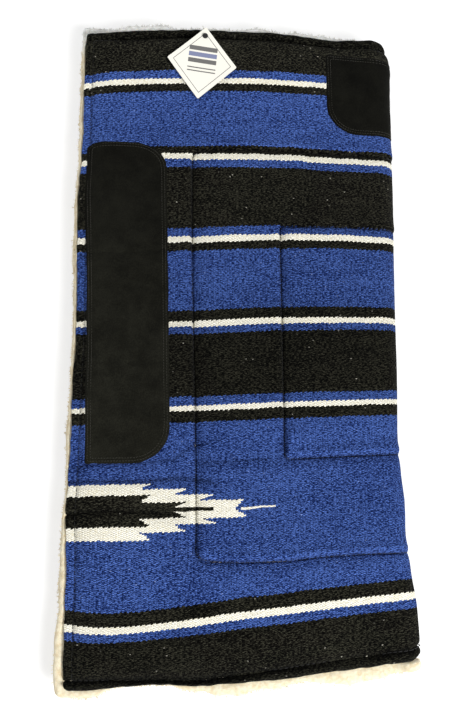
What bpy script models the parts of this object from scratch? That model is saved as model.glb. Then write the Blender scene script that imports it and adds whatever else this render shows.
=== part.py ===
"""Western saddle blanket, folded in half along its spine with the woven side out.

The pad is a woven cover, a felt core and a fleece lining, quilted together and faced with suede
wear leathers. The off half lies on the floor with its cover down, the near half lies on top of it,
fleece to fleece, and the spine between them turns over in a chain of narrow strips. Opening the
four hinge lines together lays the pad out flat. A bare hang tag turns on its fastener at the hem.

Units are metres, +Z is up, +Y is the front (withers) and +X is the spine.
"""

import math

import bmesh
import bpy
from mathutils import Matrix, Vector

# Plan of the pad
pad_length = 0.813
folded_width = 0.400
corner_radius = 0.010
fleece_margin = 0.010
fleece_side_margin = 0.007

# Layers, and the air left between pieces that touch
layer_gap = 0.0003
cover_thickness = 0.0032
core_thickness = 0.0092
fleece_thickness = 0.007
fleece_edge_round = 0.0025
fleece_corner = 0.014
crown_height = 0.0045

# Edges: the side seam, the rolled hems and the padding that swells up behind them
seam_margin = 0.008
hem_width = 0.010
hem_height = 0.0055
edge_roll = 0.030

# Quilting: two stitched boxes centred on the spine, measured over the cover
stitch_depth = 0.002
stitch_valley = 0.008
outer_box_width = 0.544
outer_box_length = 0.517
outer_box_front = 0.170
inner_box_width = 0.323
inner_box_length = 0.293
inner_box_front = 0.275

# Wear leathers, let into the cover
leather_thickness = 0.0012
side_leather_width = 0.099
side_leather_length = 0.412
side_leather_front = 0.155
side_leather_inset = 0.012
side_leather_round = 0.032
side_leather_corner = 0.005
withers_leather_width = 0.191
withers_leather_length = 0.115
withers_leather_front = 0.026
withers_leather_round = 0.028
withers_leather_corner = 0.004

# Fold: hinge lines round the spine, and the small hollow inside the turned fleece
hinge_count = 4
fold_angle = math.radians(180)
crease_radius = 0.0015

# Hang tag and its fastener
tag_side = 0.070
tag_corner_angle = math.radians(81)
tag_thickness = 0.0006
tag_corner = 0.001
tag_hole_radius = 0.0025
tag_hole_inset = 0.0135
tag_from_side = 0.155
tag_from_front = 0.013
tag_turn = math.radians(-6)
fastener_stem_radius = 0.001
fastener_head_radius = 0.0036
fastener_head_thickness = 0.0011
fastener_foot_radius = 0.0024
fastener_foot_thickness = 0.0008

# Mesh fineness, and how far a cutter runs past what it cuts
grid_step = 0.100
finest_step = 0.0012
overrun = 0.010
edge_shares = (0.0, 0.2, 0.5, 1.0)
hem_shares = (0.2, 0.5, 0.8)
turn_shares = (0.0, 0.33, 0.67)
core_edge_share = 0.2
round_turns = 24
arc_segments = 4

# Worked out from the sizes above
half_gap = layer_gap / 2
felt_level = fleece_thickness + layer_gap
cover_level = felt_level + layer_gap
fold_radius = cover_level + core_thickness + cover_thickness
meeting_z = fold_radius
flat_width = folded_width - fold_radius
cover_span = 2 * flat_width + fold_angle * fold_radius
side_x = (fleece_margin - folded_width) / 2
spine_x = side_x + flat_width
front_y = pad_length / 2
fold_step = fold_angle / hinge_count
strip_width = fold_step * fold_radius
hinge_radius = strip_width / 2 / math.sin(fold_step / 2)
leather_recess = leather_thickness + layer_gap
tag_half_width = tag_side * math.sin(tag_corner_angle / 2)
tag_half_height = tag_side * math.cos(tag_corner_angle / 2)
near_end = flat_width + strip_width / 2

COLOURS = {
    "woven": ((0.035, 0.075, 0.36), 0.92),
    "felt": ((0.30, 0.29, 0.27), 0.95),
    "fleece": ((0.84, 0.80, 0.72), 0.97),
    "suede": ((0.018, 0.017, 0.016), 0.88),
    "card": ((0.86, 0.85, 0.81), 0.60),
    "plastic": ((0.02, 0.02, 0.02), 0.45),
}


def clear_scene():
    for item in list(bpy.data.objects):
        bpy.data.objects.remove(item, do_unlink=True)


def finish_for(name, colour):
    """A piece's own material, in one of the pad's colours."""
    shade, roughness = COLOURS[colour]
    material = bpy.data.materials.new(name)
    material.use_nodes = True
    shader = material.node_tree.nodes["Principled BSDF"]
    shader.inputs["Base Color"].default_value = (*shade, 1.0)
    shader.inputs["Roughness"].default_value = roughness
    shader.inputs["Metallic"].default_value = 0.0
    return material


def place(across, back, height, slide=0.0):
    """A point of the folded pad.

    across runs over the cover from the near side's edge, round the spine, to the off side's edge.
    back runs from the front edge. height is measured from the plane where the fleeces meet, and
    slide moves the point a little further across.
    """
    y = front_y - back
    turned = cover_span - flat_width
    if across <= flat_width:
        return Vector((side_x + across + slide, y, meeting_z + height))
    if across >= turned:
        return Vector((side_x + cover_span - across - slide, y, meeting_z - height))
    angle = (across - flat_width) / fold_radius
    outward = Vector((math.sin(angle), 0.0, math.cos(angle)))
    onward = Vector((math.cos(angle), 0.0, -math.sin(angle)))
    centre = Vector((spine_x, y, meeting_z))
    return centre + outward * height + onward * slide


def swell(inward):
    """Share of the padding's full height, this far behind the seam of an open edge."""
    along = min(max(inward / edge_roll, 0.0), 1.0)
    return math.sqrt(1.0 - (1.0 - along) ** 2)


def side_distance(across):
    return min(across, cover_span - across)


def crown(across, back):
    """The near half's crown. The floor presses the off half flat."""
    if not 0.0 < across < flat_width:
        return 0.0
    over_width = math.sin(math.pi * across / flat_width) ** 2
    over_length = math.sin(math.pi * min(max(back / pad_length, 0.0), 1.0)) ** 2
    return crown_height * over_width * over_length


def valley(across, back, box_width, box_length, box_front):
    """How deep one box of quilting draws the cover down at a point."""
    inside = box_width / 2 - abs(across - cover_span / 2)
    behind = back - box_front
    before = box_front + box_length - back
    nearest = min(inside, behind, before)
    if nearest < 0:
        nearest = -math.hypot(min(inside, 0.0), min(behind, 0.0), min(before, 0.0))
    return stitch_depth * max(0.0, 1.0 - abs(nearest) / stitch_valley)


def padding(across, back):
    """Height of the felt core above the lining."""
    edges = (
        swell(side_distance(across) - seam_margin)
        * swell(back - hem_width)
        * swell(pad_length - back - hem_width)
    )
    outer = valley(across, back, outer_box_width, outer_box_length, outer_box_front)
    inner = valley(across, back, inner_box_width, inner_box_length, inner_box_front)
    return core_thickness * edges + crown(across, back) - outer - inner


def cover_under(across, back):
    return cover_level + padding(across, back)


def cover_top(across, back):
    """The cover's outer face, with the rolled hem standing up along the front and rear."""
    from_end = min(back, pad_length - back)
    hem = 0.0
    if from_end < hem_width:
        hem = (hem_height - cover_thickness) * math.sin(math.pi * max(from_end, 0.0) / hem_width)
    return cover_under(across, back) + cover_thickness + hem


def sorted_lines(lines, low, high):
    """Grid lines from low to high: the given ones, and even steps where they are far apart."""
    kept = [low]
    for line in sorted(lines):
        if kept[-1] + finest_step < line < high - finest_step:
            kept.append(line)
    kept.append(high)
    filled = [low]
    for line in kept[1:]:
        start = filled[-1]
        parts = max(1, math.ceil((line - start) / grid_step))
        filled += [start + (line - start) * part / parts for part in range(1, parts + 1)]
    return filled


def column_lines():
    """Lines across the near half: the side seam, the swelling behind it and the quilting."""
    lines = [seam_margin + share * edge_roll for share in edge_shares]
    for box_width in (outer_box_width, inner_box_width):
        stitch = (cover_span - box_width) / 2
        lines += [stitch - stitch_valley, stitch, stitch + stitch_valley]
    return lines


def end_lines():
    """Lines along the front and rear: the rolled hems and the swelling behind them."""
    ends = [share * hem_width for share in hem_shares]
    ends += [hem_width + share * edge_roll for share in edge_shares]
    return ends + [pad_length - line for line in ends]


def row_lines():
    """Lines from front to rear: the ends and the quilting."""
    lines = end_lines()
    boxes = ((outer_box_front, outer_box_length), (inner_box_front, inner_box_length))
    for box_front, box_length in boxes:
        for stitch in (box_front, box_front + box_length):
            lines += [stitch - stitch_valley, stitch, stitch + stitch_valley]
    return lines


def arc_lines(start, end):
    """The lines inside one body's share of the turned spine."""
    count = max(1, round(arc_segments * (end - start) / strip_width))
    return [start + (end - start) * part / count for part in range(1, count)]


def strip_span(body):
    """Where a strip of the spine starts and ends across the cover; strip 1 joins the off half."""
    number = int(body.rsplit("_", 1)[1])
    start = cover_span - near_end - number * strip_width
    return start, start + strip_width


def mirrored(columns):
    """Columns of the near half, turned into those of the off half."""
    return [(cover_span - line, -slide) for line, slide in reversed(columns)]


def body_columns(body, flat_lines, start):
    """Pairs of a line across a body and its slide, which opens the gap at the body's seams.

    The halves start at a distance in from their open edge; a strip runs from seam to seam.
    """
    if body.startswith("spine"):
        first, last = strip_span(body)
        inner = [(line, 0.0) for line in arc_lines(first, last)]
        return [(first, half_gap), *inner, (last, -half_gap)]
    lines = sorted_lines(flat_lines, start, flat_width) + arc_lines(flat_width, near_end)
    columns = [(line, 0.0) for line in lines] + [(near_end, -half_gap)]
    return columns if body == "near_half" else mirrored(columns)


def cutter_columns(body, flat_lines, start, stop):
    """Columns of a cutter, which runs on past a body's seams."""
    if body.startswith("spine"):
        first, last = strip_span(body)
        inner = [first, *arc_lines(first, last), last]
        lines = [first - layer_gap, *inner, last + layer_gap]
        return [(line, 0.0) for line in lines]
    lines = sorted_lines(flat_lines, start, min(stop, flat_width))
    if stop > flat_width:
        lines += [*arc_lines(flat_width, near_end), near_end, near_end + layer_gap]
    columns = [(line, 0.0) for line in lines]
    return columns if body == "near_half" else mirrored(columns)


def rounded(side, end, radius):
    """Moves a point near a square corner on to the rounded one; both are distances in."""
    if side >= radius or end >= radius:
        return side, end
    reach_side = radius - side
    reach_end = radius - end
    pull = max(reach_side, reach_end) / math.hypot(reach_side, reach_end)
    return radius - reach_side * pull, radius - reach_end * pull


def rounded_plan(start, stop, front, rear, rounds):
    """How a rectangle's grid points move in plan to round its corners.

    rounds holds the radii at the start, front and rear, and then at the stop, front and rear.
    """

    def plan(across, back):
        side = side_distance(across)
        at_rear = rear - back < back - front
        end_in = rear - back if at_rear else back - front
        if side < (start + stop) / 2:
            side_in, end_in = rounded(side - start, end_in, rounds[0][at_rear])
            side = start + side_in
        else:
            side_in, end_in = rounded(stop - side, end_in, rounds[1][at_rear])
            side = stop - side_in
        moved_back = rear - end_in if at_rear else front + end_in
        return (side if across < cover_span / 2 else cover_span - side), moved_back

    return plan


def edge_plan(start, front, rear, radius):
    """A layer's plan: round corners at its open edge and none at the spine."""
    return rounded_plan(start, cover_span, front, rear, ((radius, radius), (0.0, 0.0)))


def turned_corner(radius):
    """Distances in from a corner at which lines turn its round evenly."""
    return [radius * (1.0 - math.tan(math.pi / 4 * share)) for share in turn_shares]


def layer_mesh(columns, rows, low, high, plan):
    """A closed sheet between two heights over a grid of columns and rows."""
    mesh = bmesh.new()
    bmesh.ops.create_grid(
        mesh, x_segments=len(columns) - 1, y_segments=len(rows) - 1, size=1.0
    )
    bmesh.ops.triangulate(mesh, faces=mesh.faces, quad_method="FIXED")
    grid = {}
    for vertex in mesh.verts:
        column = round((vertex.co.x + 1.0) / 2.0 * (len(columns) - 1))
        row = round((vertex.co.y + 1.0) / 2.0 * (len(rows) - 1))
        grid[vertex] = (column, row)
    rim = [edge for edge in mesh.edges if edge.is_boundary]
    under = {vertex: mesh.verts.new(vertex.co) for vertex in list(grid)}
    for face in list(mesh.faces):
        mesh.faces.new([under[vertex] for vertex in reversed(face.verts)])
    for edge in rim:
        first = edge.link_loops[0].vert
        second = edge.other_vert(first)
        mesh.faces.new((second, first, under[first], under[second]))
    for vertex, (column, row) in grid.items():
        across, slide = columns[column]
        back = rows[row]
        plan_across, plan_back = plan(across, back)
        vertex.co = place(plan_across, plan_back, high(across, back), slide)
        under[vertex].co = place(plan_across, plan_back, low(across, back), slide)
    if mesh.calc_volume(signed=True) < 0:
        bmesh.ops.reverse_faces(mesh, faces=mesh.faces)
    return mesh


def hinge_axes():
    """Each moving body's parent and the place of its axis, from the off half round the spine."""
    axes = {}
    parent = "off_half"
    names = [f"spine_{number}" for number in range(1, hinge_count)] + ["near_half"]
    for number, name in enumerate(names):
        angle = fold_angle - fold_step * (number + 0.5)
        outward = Vector((math.sin(angle), 0.0, math.cos(angle)))
        axes[name] = (parent, Vector((spine_x, 0.0, meeting_z)) + outward * hinge_radius)
        parent = name
    axes["tag"] = ("near_half", tag_pivot())
    return axes


def add_bodies():
    """An empty on each moving body's axis; returns each body's empty and its place."""
    bodies = {"off_half": (add_empty("off_half", None, Vector()), Vector())}
    for name, (parent, axis) in hinge_axes().items():
        parent_empty, parent_axis = bodies[parent]
        bodies[name] = (add_empty(name, parent_empty, axis - parent_axis), axis)
        print(f"{name} turns about", [round(value, 7) for value in axis])
    return bodies


def add_empty(name, parent, location):
    empty = bpy.data.objects.new(f"{name}_axis", None)
    bpy.context.scene.collection.objects.link(empty)
    empty.parent = parent
    empty.location = location
    return empty


def add_piece(name, colour, mesh, body):
    """An object for a piece, with its origin on its body's axis."""
    empty, axis = body
    bmesh.ops.translate(mesh, verts=mesh.verts, vec=-axis)
    data = bpy.data.meshes.new(name)
    mesh.to_mesh(data)
    mesh.free()
    data.shade_smooth()
    data.set_sharp_from_angle(angle=math.radians(35))
    data.materials.append(finish_for(name, colour))
    piece = bpy.data.objects.new(name, data)
    bpy.context.scene.collection.objects.link(piece)
    piece.parent = empty
    return piece


def cut(target, name, mesh, body):
    """Cuts a piece with a mesh, which stays in the file as a guide."""
    cutter = add_piece(f"{target.name}_{name}_cutter", "felt", mesh, body)
    cutter.hide_render = True
    cutter.display_type = "WIRE"
    recess = target.modifiers.new(name, "BOOLEAN")
    recess.operation = "DIFFERENCE"
    recess.solver = "EXACT"
    recess.object = cutter


def cover_mesh(body):
    rows = sorted_lines(row_lines(), 0.0, pad_length)
    columns = body_columns(body, column_lines(), 0.0)
    plan = edge_plan(0.0, 0.0, pad_length, corner_radius)
    return layer_mesh(columns, rows, cover_under, cover_top, plan)


def core_mesh(body):
    """The felt under the cover, cut back from the seams."""
    start = seam_margin + core_edge_share * edge_roll
    front = hem_width + core_edge_share * edge_roll
    rear = pad_length - front
    rows = sorted_lines(row_lines(), front, rear)
    columns = body_columns(body, column_lines(), start)
    plan = edge_plan(start, front, rear, corner_radius / 2)

    def low(across, back):
        return felt_level

    def high(across, back):
        return felt_level + padding(across, back)

    return layer_mesh(columns, rows, low, high, plan)


def fleece_mesh(body):
    """The lining, which shows past the cover all round and has a soft round edge."""
    start = -fleece_side_margin
    front = -fleece_margin
    rear = pad_length + fleece_margin
    ends = [share * fleece_edge_round for share in edge_shares] + turned_corner(fleece_corner)
    rows = sorted_lines([front + line for line in ends] + [rear - line for line in ends], front, rear)
    crease_start = flat_width - 2 * crease_radius
    columns = body_columns(body, [start + line for line in ends] + [crease_start], start)
    plan = edge_plan(start, front, rear, fleece_corner)

    def worn(across, back):
        inward = min(side_distance(across) - start, back - front, rear - back)
        along = min(inward / fleece_edge_round, 1.0)
        return fleece_edge_round * (1.0 - math.sqrt(max(0.0, 1.0 - (1.0 - along) ** 2)))

    def low(across, back):
        at_crease = side_distance(across) > crease_start + half_gap
        return (crease_radius if at_crease else half_gap) + worn(across, back)

    def high(across, back):
        return fleece_thickness - worn(across, back)

    return layer_mesh(columns, rows, low, high, plan)


def leather_rows(front, rear, rounds, ends):
    lines = [front + line for radii in rounds for line in turned_corner(radii[0])]
    lines += [rear - line for radii in rounds for line in turned_corner(radii[1])]
    return sorted_lines(lines + ends, front, rear)


def leather_lines(start, stop, rounds):
    lines = [start + line for radius in rounds[0] for line in turned_corner(radius)]
    lines += [stop - line for radius in rounds[1] for line in turned_corner(radius)]
    return lines + column_lines()


def leather_low(across, back):
    return cover_top(across, back) - leather_thickness


def recess_low(across, back):
    return cover_top(across, back) - leather_recess


def recess_high(across, back):
    return cover_top(across, back) + overrun


def widened(rounds):
    """The same corners one gap further out."""
    return tuple(tuple(radius + layer_gap for radius in radii) for radii in rounds)


def add_side_leather(body_name, body, cover):
    """The long leather under the stirrup, let into the cover near the open edge."""
    rounds = ((side_leather_corner,) * 2, (side_leather_round,) * 2)
    start = side_leather_inset
    stop = start + side_leather_width
    front = side_leather_front
    rear = front + side_leather_length
    for grow in (0.0, layer_gap):
        corners = widened(rounds) if grow else rounds
        box = (start - grow, stop + grow, front - grow, rear + grow)
        lines = leather_lines(box[0], box[1], corners)
        columns = cutter_columns(body_name, lines, box[0], box[1])
        rows = leather_rows(box[2], box[3], corners, [])
        plan = rounded_plan(*box, corners)
        if grow:
            cut(cover, "side_recess", layer_mesh(columns, rows, recess_low, recess_high, plan), body)
        else:
            mesh = layer_mesh(columns, rows, leather_low, cover_top, plan)
            add_piece(f"{short_name(body_name)}_side_leather", "suede", mesh, body)


def add_withers_leather(body_name, body, cover):
    """One body's share of the leather that spans the spine over the withers."""
    rounds = ((withers_leather_corner, withers_leather_round), (0.0, 0.0))
    start = (cover_span - withers_leather_width) / 2
    front = withers_leather_front
    rear = front + withers_leather_length
    for grow in (0.0, layer_gap):
        corners = (widened(rounds)[0], rounds[1]) if grow else rounds
        box = (start - grow, cover_span, front - grow, rear + grow)
        lines = leather_lines(box[0], box[1], corners)
        rows = leather_rows(box[2], box[3], corners, end_lines())
        plan = rounded_plan(*box, corners)
        if grow:
            columns = cutter_columns(body_name, lines, box[0], cover_span)
            mesh = layer_mesh(columns, rows, recess_low, recess_high, plan)
            cut(cover, "withers_recess", mesh, body)
        else:
            columns = body_columns(body_name, lines, start)
            mesh = layer_mesh(columns, rows, leather_low, cover_top, plan)
            add_piece(f"{short_name(body_name)}_withers_leather", "suede", mesh, body)


def short_name(body_name):
    return body_name.removesuffix("_half")


def tag_level():
    """Height of the tag's underside: clear of the cover wherever the tag swings."""
    reach = tag_from_front + 2 * tag_half_height - tag_hole_inset
    return fold_radius + crown(flat_width / 2, reach) + layer_gap


def tag_pivot():
    return place(tag_from_side, tag_from_front, tag_level())


def add_tag(body):
    """A bare diamond-shaped card, hung by one of its two sharper corners."""
    centre_reach = tag_half_height - tag_hole_inset
    mesh = bmesh.new()
    bmesh.ops.create_cube(mesh, size=1.0)
    bmesh.ops.scale(mesh, verts=mesh.verts, vec=(tag_side, tag_side, tag_thickness))
    upright = [e for e in mesh.edges if abs(e.verts[0].co.z - e.verts[1].co.z) > tag_thickness / 2]
    bmesh.ops.bevel(
        mesh, geom=upright, offset=tag_corner, segments=3, profile=0.5, affect="EDGES"
    )
    turn = Matrix.Rotation(math.pi / 4, 4, "Z")
    square_half = tag_side / math.sqrt(2.0)
    diamond = Matrix.Diagonal((tag_half_width / square_half, tag_half_height / square_half, 1.0, 1.0))
    hang = Matrix.Translation((0.0, -centre_reach, tag_thickness / 2))
    swing = Matrix.Rotation(tag_turn, 4, "Z")
    bmesh.ops.transform(mesh, verts=mesh.verts, matrix=swing @ hang @ diamond @ turn)
    bmesh.ops.translate(mesh, verts=mesh.verts, vec=body[1])
    tag = add_piece("hang_tag", "card", mesh, body)
    hole = bmesh.new()
    bmesh.ops.create_cone(
        hole,
        cap_ends=True,
        segments=round_turns,
        radius1=tag_hole_radius,
        radius2=tag_hole_radius,
        depth=overrun,
    )
    bmesh.ops.translate(hole, verts=hole.verts, vec=body[1])
    cut(tag, "hole", hole, body)


def add_fastener(body):
    """The turned plastic stud that holds the tag: foot behind the hem, head over the tag."""
    pivot = tag_pivot()
    foot_rear = tag_from_front + fastener_foot_radius
    seat = place(tag_from_side, foot_rear, cover_top(tag_from_side, foot_rear))
    bottom = seat.z + layer_gap
    under_head = pivot.z + tag_thickness + layer_gap
    foot_top = bottom + fastener_foot_thickness
    top = under_head + fastener_head_thickness
    outline = (
        (0.0, bottom),
        (fastener_foot_radius, bottom),
        (fastener_foot_radius, foot_top),
        (fastener_stem_radius, foot_top),
        (fastener_stem_radius, under_head),
        (fastener_head_radius, under_head),
        (fastener_head_radius, top),
        (0.0, top),
    )
    mesh = bmesh.new()
    points = [mesh.verts.new((pivot.x + radius, pivot.y, height)) for radius, height in outline]
    edges = [mesh.edges.new(pair) for pair in zip(points, points[1:], strict=False)]
    bmesh.ops.spin(
        mesh,
        geom=points + edges,
        cent=pivot,
        axis=(0.0, 0.0, 1.0),
        angle=2 * math.pi,
        steps=round_turns,
    )
    bmesh.ops.remove_doubles(mesh, verts=mesh.verts, dist=half_gap / 10)
    bmesh.ops.recalc_face_normals(mesh, faces=mesh.faces)
    add_piece("tag_fastener", "plastic", mesh, body)


def main():
    clear_scene()
    bodies = add_bodies()
    for body_name, body in bodies.items():
        if body_name == "tag":
            continue
        name = short_name(body_name)
        cover = add_piece(f"{name}_cover", "woven", cover_mesh(body_name), body)
        add_piece(f"{name}_core", "felt", core_mesh(body_name), body)
        add_piece(f"{name}_fleece", "fleece", fleece_mesh(body_name), body)
        add_withers_leather(body_name, body, cover)
        if body_name.endswith("_half"):
            add_side_leather(body_name, body, cover)
    add_fastener(bodies["near_half"])
    add_tag(bodies["tag"])


main()
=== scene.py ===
"""Dresses a folded western saddle pad: woven cover, felt, fleece, suede leathers, thread and tag.

The pad lies folded along its spine, fleece to fleece. The near half is on top and the off half lies
on the floor. Every layer turns over the fold in four pieces.
"""

import math
from collections import namedtuple

import bmesh
import bpy
import numpy as np
from mathutils import Matrix, Vector


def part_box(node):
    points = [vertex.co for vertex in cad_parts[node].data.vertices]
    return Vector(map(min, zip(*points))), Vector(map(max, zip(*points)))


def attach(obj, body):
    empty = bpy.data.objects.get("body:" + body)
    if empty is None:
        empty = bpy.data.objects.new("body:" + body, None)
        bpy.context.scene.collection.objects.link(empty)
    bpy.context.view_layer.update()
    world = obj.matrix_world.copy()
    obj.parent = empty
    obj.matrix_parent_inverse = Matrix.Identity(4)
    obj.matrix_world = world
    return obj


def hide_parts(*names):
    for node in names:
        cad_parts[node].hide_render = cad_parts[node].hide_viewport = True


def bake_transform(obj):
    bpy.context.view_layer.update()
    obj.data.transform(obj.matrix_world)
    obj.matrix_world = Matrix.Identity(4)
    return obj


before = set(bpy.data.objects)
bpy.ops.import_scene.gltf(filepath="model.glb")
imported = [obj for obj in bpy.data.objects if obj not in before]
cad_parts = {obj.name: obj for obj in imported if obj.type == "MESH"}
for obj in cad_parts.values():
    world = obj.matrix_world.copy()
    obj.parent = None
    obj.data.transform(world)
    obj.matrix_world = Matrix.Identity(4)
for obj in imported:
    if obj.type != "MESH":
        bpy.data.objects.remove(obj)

bl_info = {
    "name": "Saddle Pad Dressing",
    "version": (1, 0, 0),
    "blender": (4, 5, 0),
    "location": "3D View > Sidebar > Saddle Pad",
    "description": "Builds the soft layers, thread, leathers and tag of a folded saddle pad",
    "category": "Object",
}

# Sizes of the folded pad, as its solids have them, in metres
PAD_LENGTH = 0.813
FOLDED_WIDTH = 0.400
LAYER_GAP = 0.0003
COVER_THICKNESS = 0.0032
CORE_THICKNESS = 0.0092
FLEECE_THICKNESS = 0.007
FLEECE_MARGIN = 0.010
CROWN_HEIGHT = 0.0045
SEAM_MARGIN = 0.010
HEM_WIDTH = 0.010
HEM_HEIGHT = 0.0055
EDGE_ROLL = 0.030
CREASE_RADIUS = 0.003
SIDE_WIDTH, SIDE_LENGTH = 0.099, 0.412
WITHERS_WIDTH, WITHERS_LENGTH = 0.191, 0.115
TAG_ANGLE = 81
TAG_TURN = -6
TAG_HOLE_INSET = 0.0135
TAG_HOLE_RADIUS = 0.0025
CARD_THICKNESS = 0.0006
CARD_ROUND = 0.0015
CARD_STRIPS = 16

# Worked out from them
FELT_LEVEL = FLEECE_THICKNESS + LAYER_GAP
COVER_LEVEL = FELT_LEVEL + LAYER_GAP
FOLD_RADIUS = COVER_LEVEL + CORE_THICKNESS + COVER_THICKNESS
FLAT = FOLDED_WIDTH - FOLD_RADIUS
SPAN = 2 * FLAT + math.pi * FOLD_RADIUS
SIDE_X = (FLEECE_MARGIN - FOLDED_WIDTH) / 2
SPINE_X = SIDE_X + FLAT
FRONT_Y = PAD_LENGTH / 2
CUTS = [FLAT + math.pi / 4 * FOLD_RADIUS * share for share in (1, 2, 3)]


def spine_box(width, length, front):
    """A box centred on the spine: its first and last line across, its first and last row back."""
    return (SPAN - width) / 2, (SPAN + width) / 2, front, front + length


# Boxes on the cover: the quilting, and the leathers with the round of their large corners
OUTER_BOX = spine_box(0.544, 0.517, 0.170)
INNER_BOX = spine_box(0.323, 0.293, 0.275)
BOX_CORNER = 0.012
INNER_ROUND = 0.4
SIDE_BOX = (0.012, 0.012 + SIDE_WIDTH, 0.155, 0.155 + SIDE_LENGTH)
SIDE_ROUND = 0.044
SIDE_FRONT_ROUND = 0.040
WITHERS_BOX = spine_box(WITHERS_WIDTH, WITHERS_LENGTH, 0.026)
WITHERS_ROUND = 0.040
LEATHER_ROWS = (0.003, 0.0065)
LEATHER_SEAM_DEPTH = 0.00035
SMALL_ROUND = 0.002
FRONT_CREASE = HEM_WIDTH + 0.0006
COVER_CORNER = 0.008
WORN_EDGE = 0.0012
FRAY = 0.0009

# Rows at both hems, from the edge, and rows at the deepest creases: start, stop and step
HEM_ROWS_END = 0.015
CREASED_ROWS = ((0.560, 0.632, 0.0012), (0.672, 0.694, 0.001))

# How far the lines beside each cut lie from it
BESIDE_CUT = 0.0003

# The four pieces of each layer, each with the two bodies that it joins and its hinge's angle
Zone = namedtuple("Zone", "name bodies first last angle nodes")
ZONES = (
    Zone("near", ("near_half", "spine_3"), 0, CUTS[0], 22.5, ("near",)),
    Zone("upper_fold", ("spine_3", "spine_2"), CUTS[0], CUTS[1], 67.5, ("spine_3",)),
    Zone("lower_fold", ("spine_2", "spine_1"), CUTS[1], CUTS[2], 112.5, ("spine_2",)),
    Zone("off", ("spine_1", "off_half"), CUTS[2], SPAN, 157.5, ("spine_1", "off")),
)

# How far the cloth has drifted towards the rear, in millimetres, at lines across and rows back
DRIFT_LINES = np.array([0, 0.030, 0.070, 0.110, 0.150, 0.190, 0.245, 0.320, 0.400])
DRIFT_ROWS = np.array([0, 0.072, 0.180, 0.290, 0.398, 0.503, 0.622, 0.739, 0.813])
DRIFT = np.array([
    [12, 9.5, 4, -0.5, -3.5, -4.5, -6, -1, 2.2],
    [18.5, 15.2, 11.2, 7.8, 4.6, 1.9, 0.4, 0.9, 1.7],
    [18.5, 13.4, 9.5, 6.5, 4.5, 1.7, -0.3, 0, 0],
    [10.5, 10, 9.7, 9, 6, 2.5, -1, -4.3, -4.3],
    [7.5, 8, 8, 7.8, 5.5, 2.5, -1.4, -5, -6.6],
    [9, 8.5, 8, 6.5, 4.5, 2, -1.3, -5.5, -9],
    [7, 6, 5, 4, 2.8, 2, -2, -7, -12],
    [12.5, 15.7, 15.5, 12, 7.5, 2.2, -3.4, -11.6, -19.2],
    [6, 5.5, 2, 1, 3, 1, -2.5, -10.7, -18.5],
])

# How far the fold stands out of its round, in millimetres, at rows back from the front
BULGE_ROWS = np.array([0, 4, 9, 16, 24, 35, 53, 94, 150, 235, 296, 363, 420, 470, 524, 549, 562, 569,
                       576, 599, 623, 648, 672, 684, 696, 721, 747, 772, 797, 813]) / 1000
BULGE = np.array([0.5, 4, 7.2, 10, 11.5, 11.7, 10, 8.5, 7.6, 5.8, 3.2, 0.8, -0.8, -2, -4.8, -6, -5.6, -6,
                  -5, -3.1, -0.6, -1, -2.1, -1.4, 1.2, 4.2, 8.2, 9.6, 10, 8])

# How far the outer box's rear seam has strayed, in millimetres, at lines across
STRAY_LINES = np.array([0.150, 0.165, 0.193, 0.253, 0.290, 0.340, 0.395])
STRAY = np.array([-10, -8, -4.5, -0.5, -1.5, 0, 3])

# How far the near side's open edge has been pushed in, in millimetres, at rows back
SIDE_ROWS = np.array([0, 20, 45, 85, 140, 190, 228, 255, 308, 365, 430, 468, 540, 600, 632, 655,
                      690, 760, 813]) / 1000
SIDE = np.array([2.6, 0.8, 1.5, 0.4, 1.5, 0, -2.5, -1.5, 0, 1.6, 2.0, 0.8, 0.5, -1, -2, 0, 1.3, 1.2, 2.8])

# How far the fleece shows past the cover, in millimetres: front, rear and near side
FRONT_FLEECE = (np.array([0, 17, 30, 55, 80, 100, 117, 145, 180, 205, 223, 245, 259, 280, 310, 350,
                          380]) / 1000,
                np.array([3, 3, 6, 11, 10, 10.5, 4.5, 4, 4.5, 5, 8, 5, 3, 7, 7, 6, 5.5]))
REAR_FLEECE = (np.array([0, 40, 48, 62, 115, 125, 145, 157, 170, 184, 197, 211, 224, 238, 251, 265,
                         280, 295, 305, 320, 333, 346, 360, 373, 386, 400, 410]) / 1000,
               np.array([7, 6, 2.5, 0.6, 0.6, 2.5, 6, 6.5, 12.5, 12, 14.5, 10.5, 9.5, 10.8, 8.8, 7, 8, 12,
                         13.5, 15.5, 15, 13.5, 15, 11.5, 12, 13, 12]))
SIDE_FLEECE = (np.array([0, 30, 80, 130, 180, 230, 330, 400, 500, 560, 600, 630, 665, 700, 735, 765, 795,
                         820]) / 1000,
               np.array([3, 4, 2.6, 4.8, 4, 2.4, 2.6, 3.2, 4, 3.5, 2.6, 3.5, 7.5, 8.5, 8.5, 10.5, 11, 9]))

# How high the fleece curls up past the rear of the fold
REAR_CURL = 0.0115

# How far the crease in front of the rear hem lies from the edge, in millimetres, at lines across
HEM_LINES = np.array([0, 40, 75, 120, 160, 200, 250, 330, 400]) / 1000
REAR_HEM = np.array([11.5, 11.5, 6.5, 5, 6, 8.5, 11, 12.5, 11.5])

# Creases left from storage: places across, rows back, depth and reach of each, in millimetres
CREASES = (
    ((-20, 117, 138, 172), (570, 564, 549, 541), 1.8, 4),
    ((-20, 84, 126, 160, 172), (586, 588, 585, 589, 594), 2.6, 4.5),
    ((-20, 37, 76, 121), (625, 621, 622.5, 627), 3.8, 5),
    ((150, 234), (567, 566), 1.8, 6),
    ((-20, 112), (310, 303), 1.9, 3),
    ((-20, 112), (445.5, 445.5), 1.1, 4),
)
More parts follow.
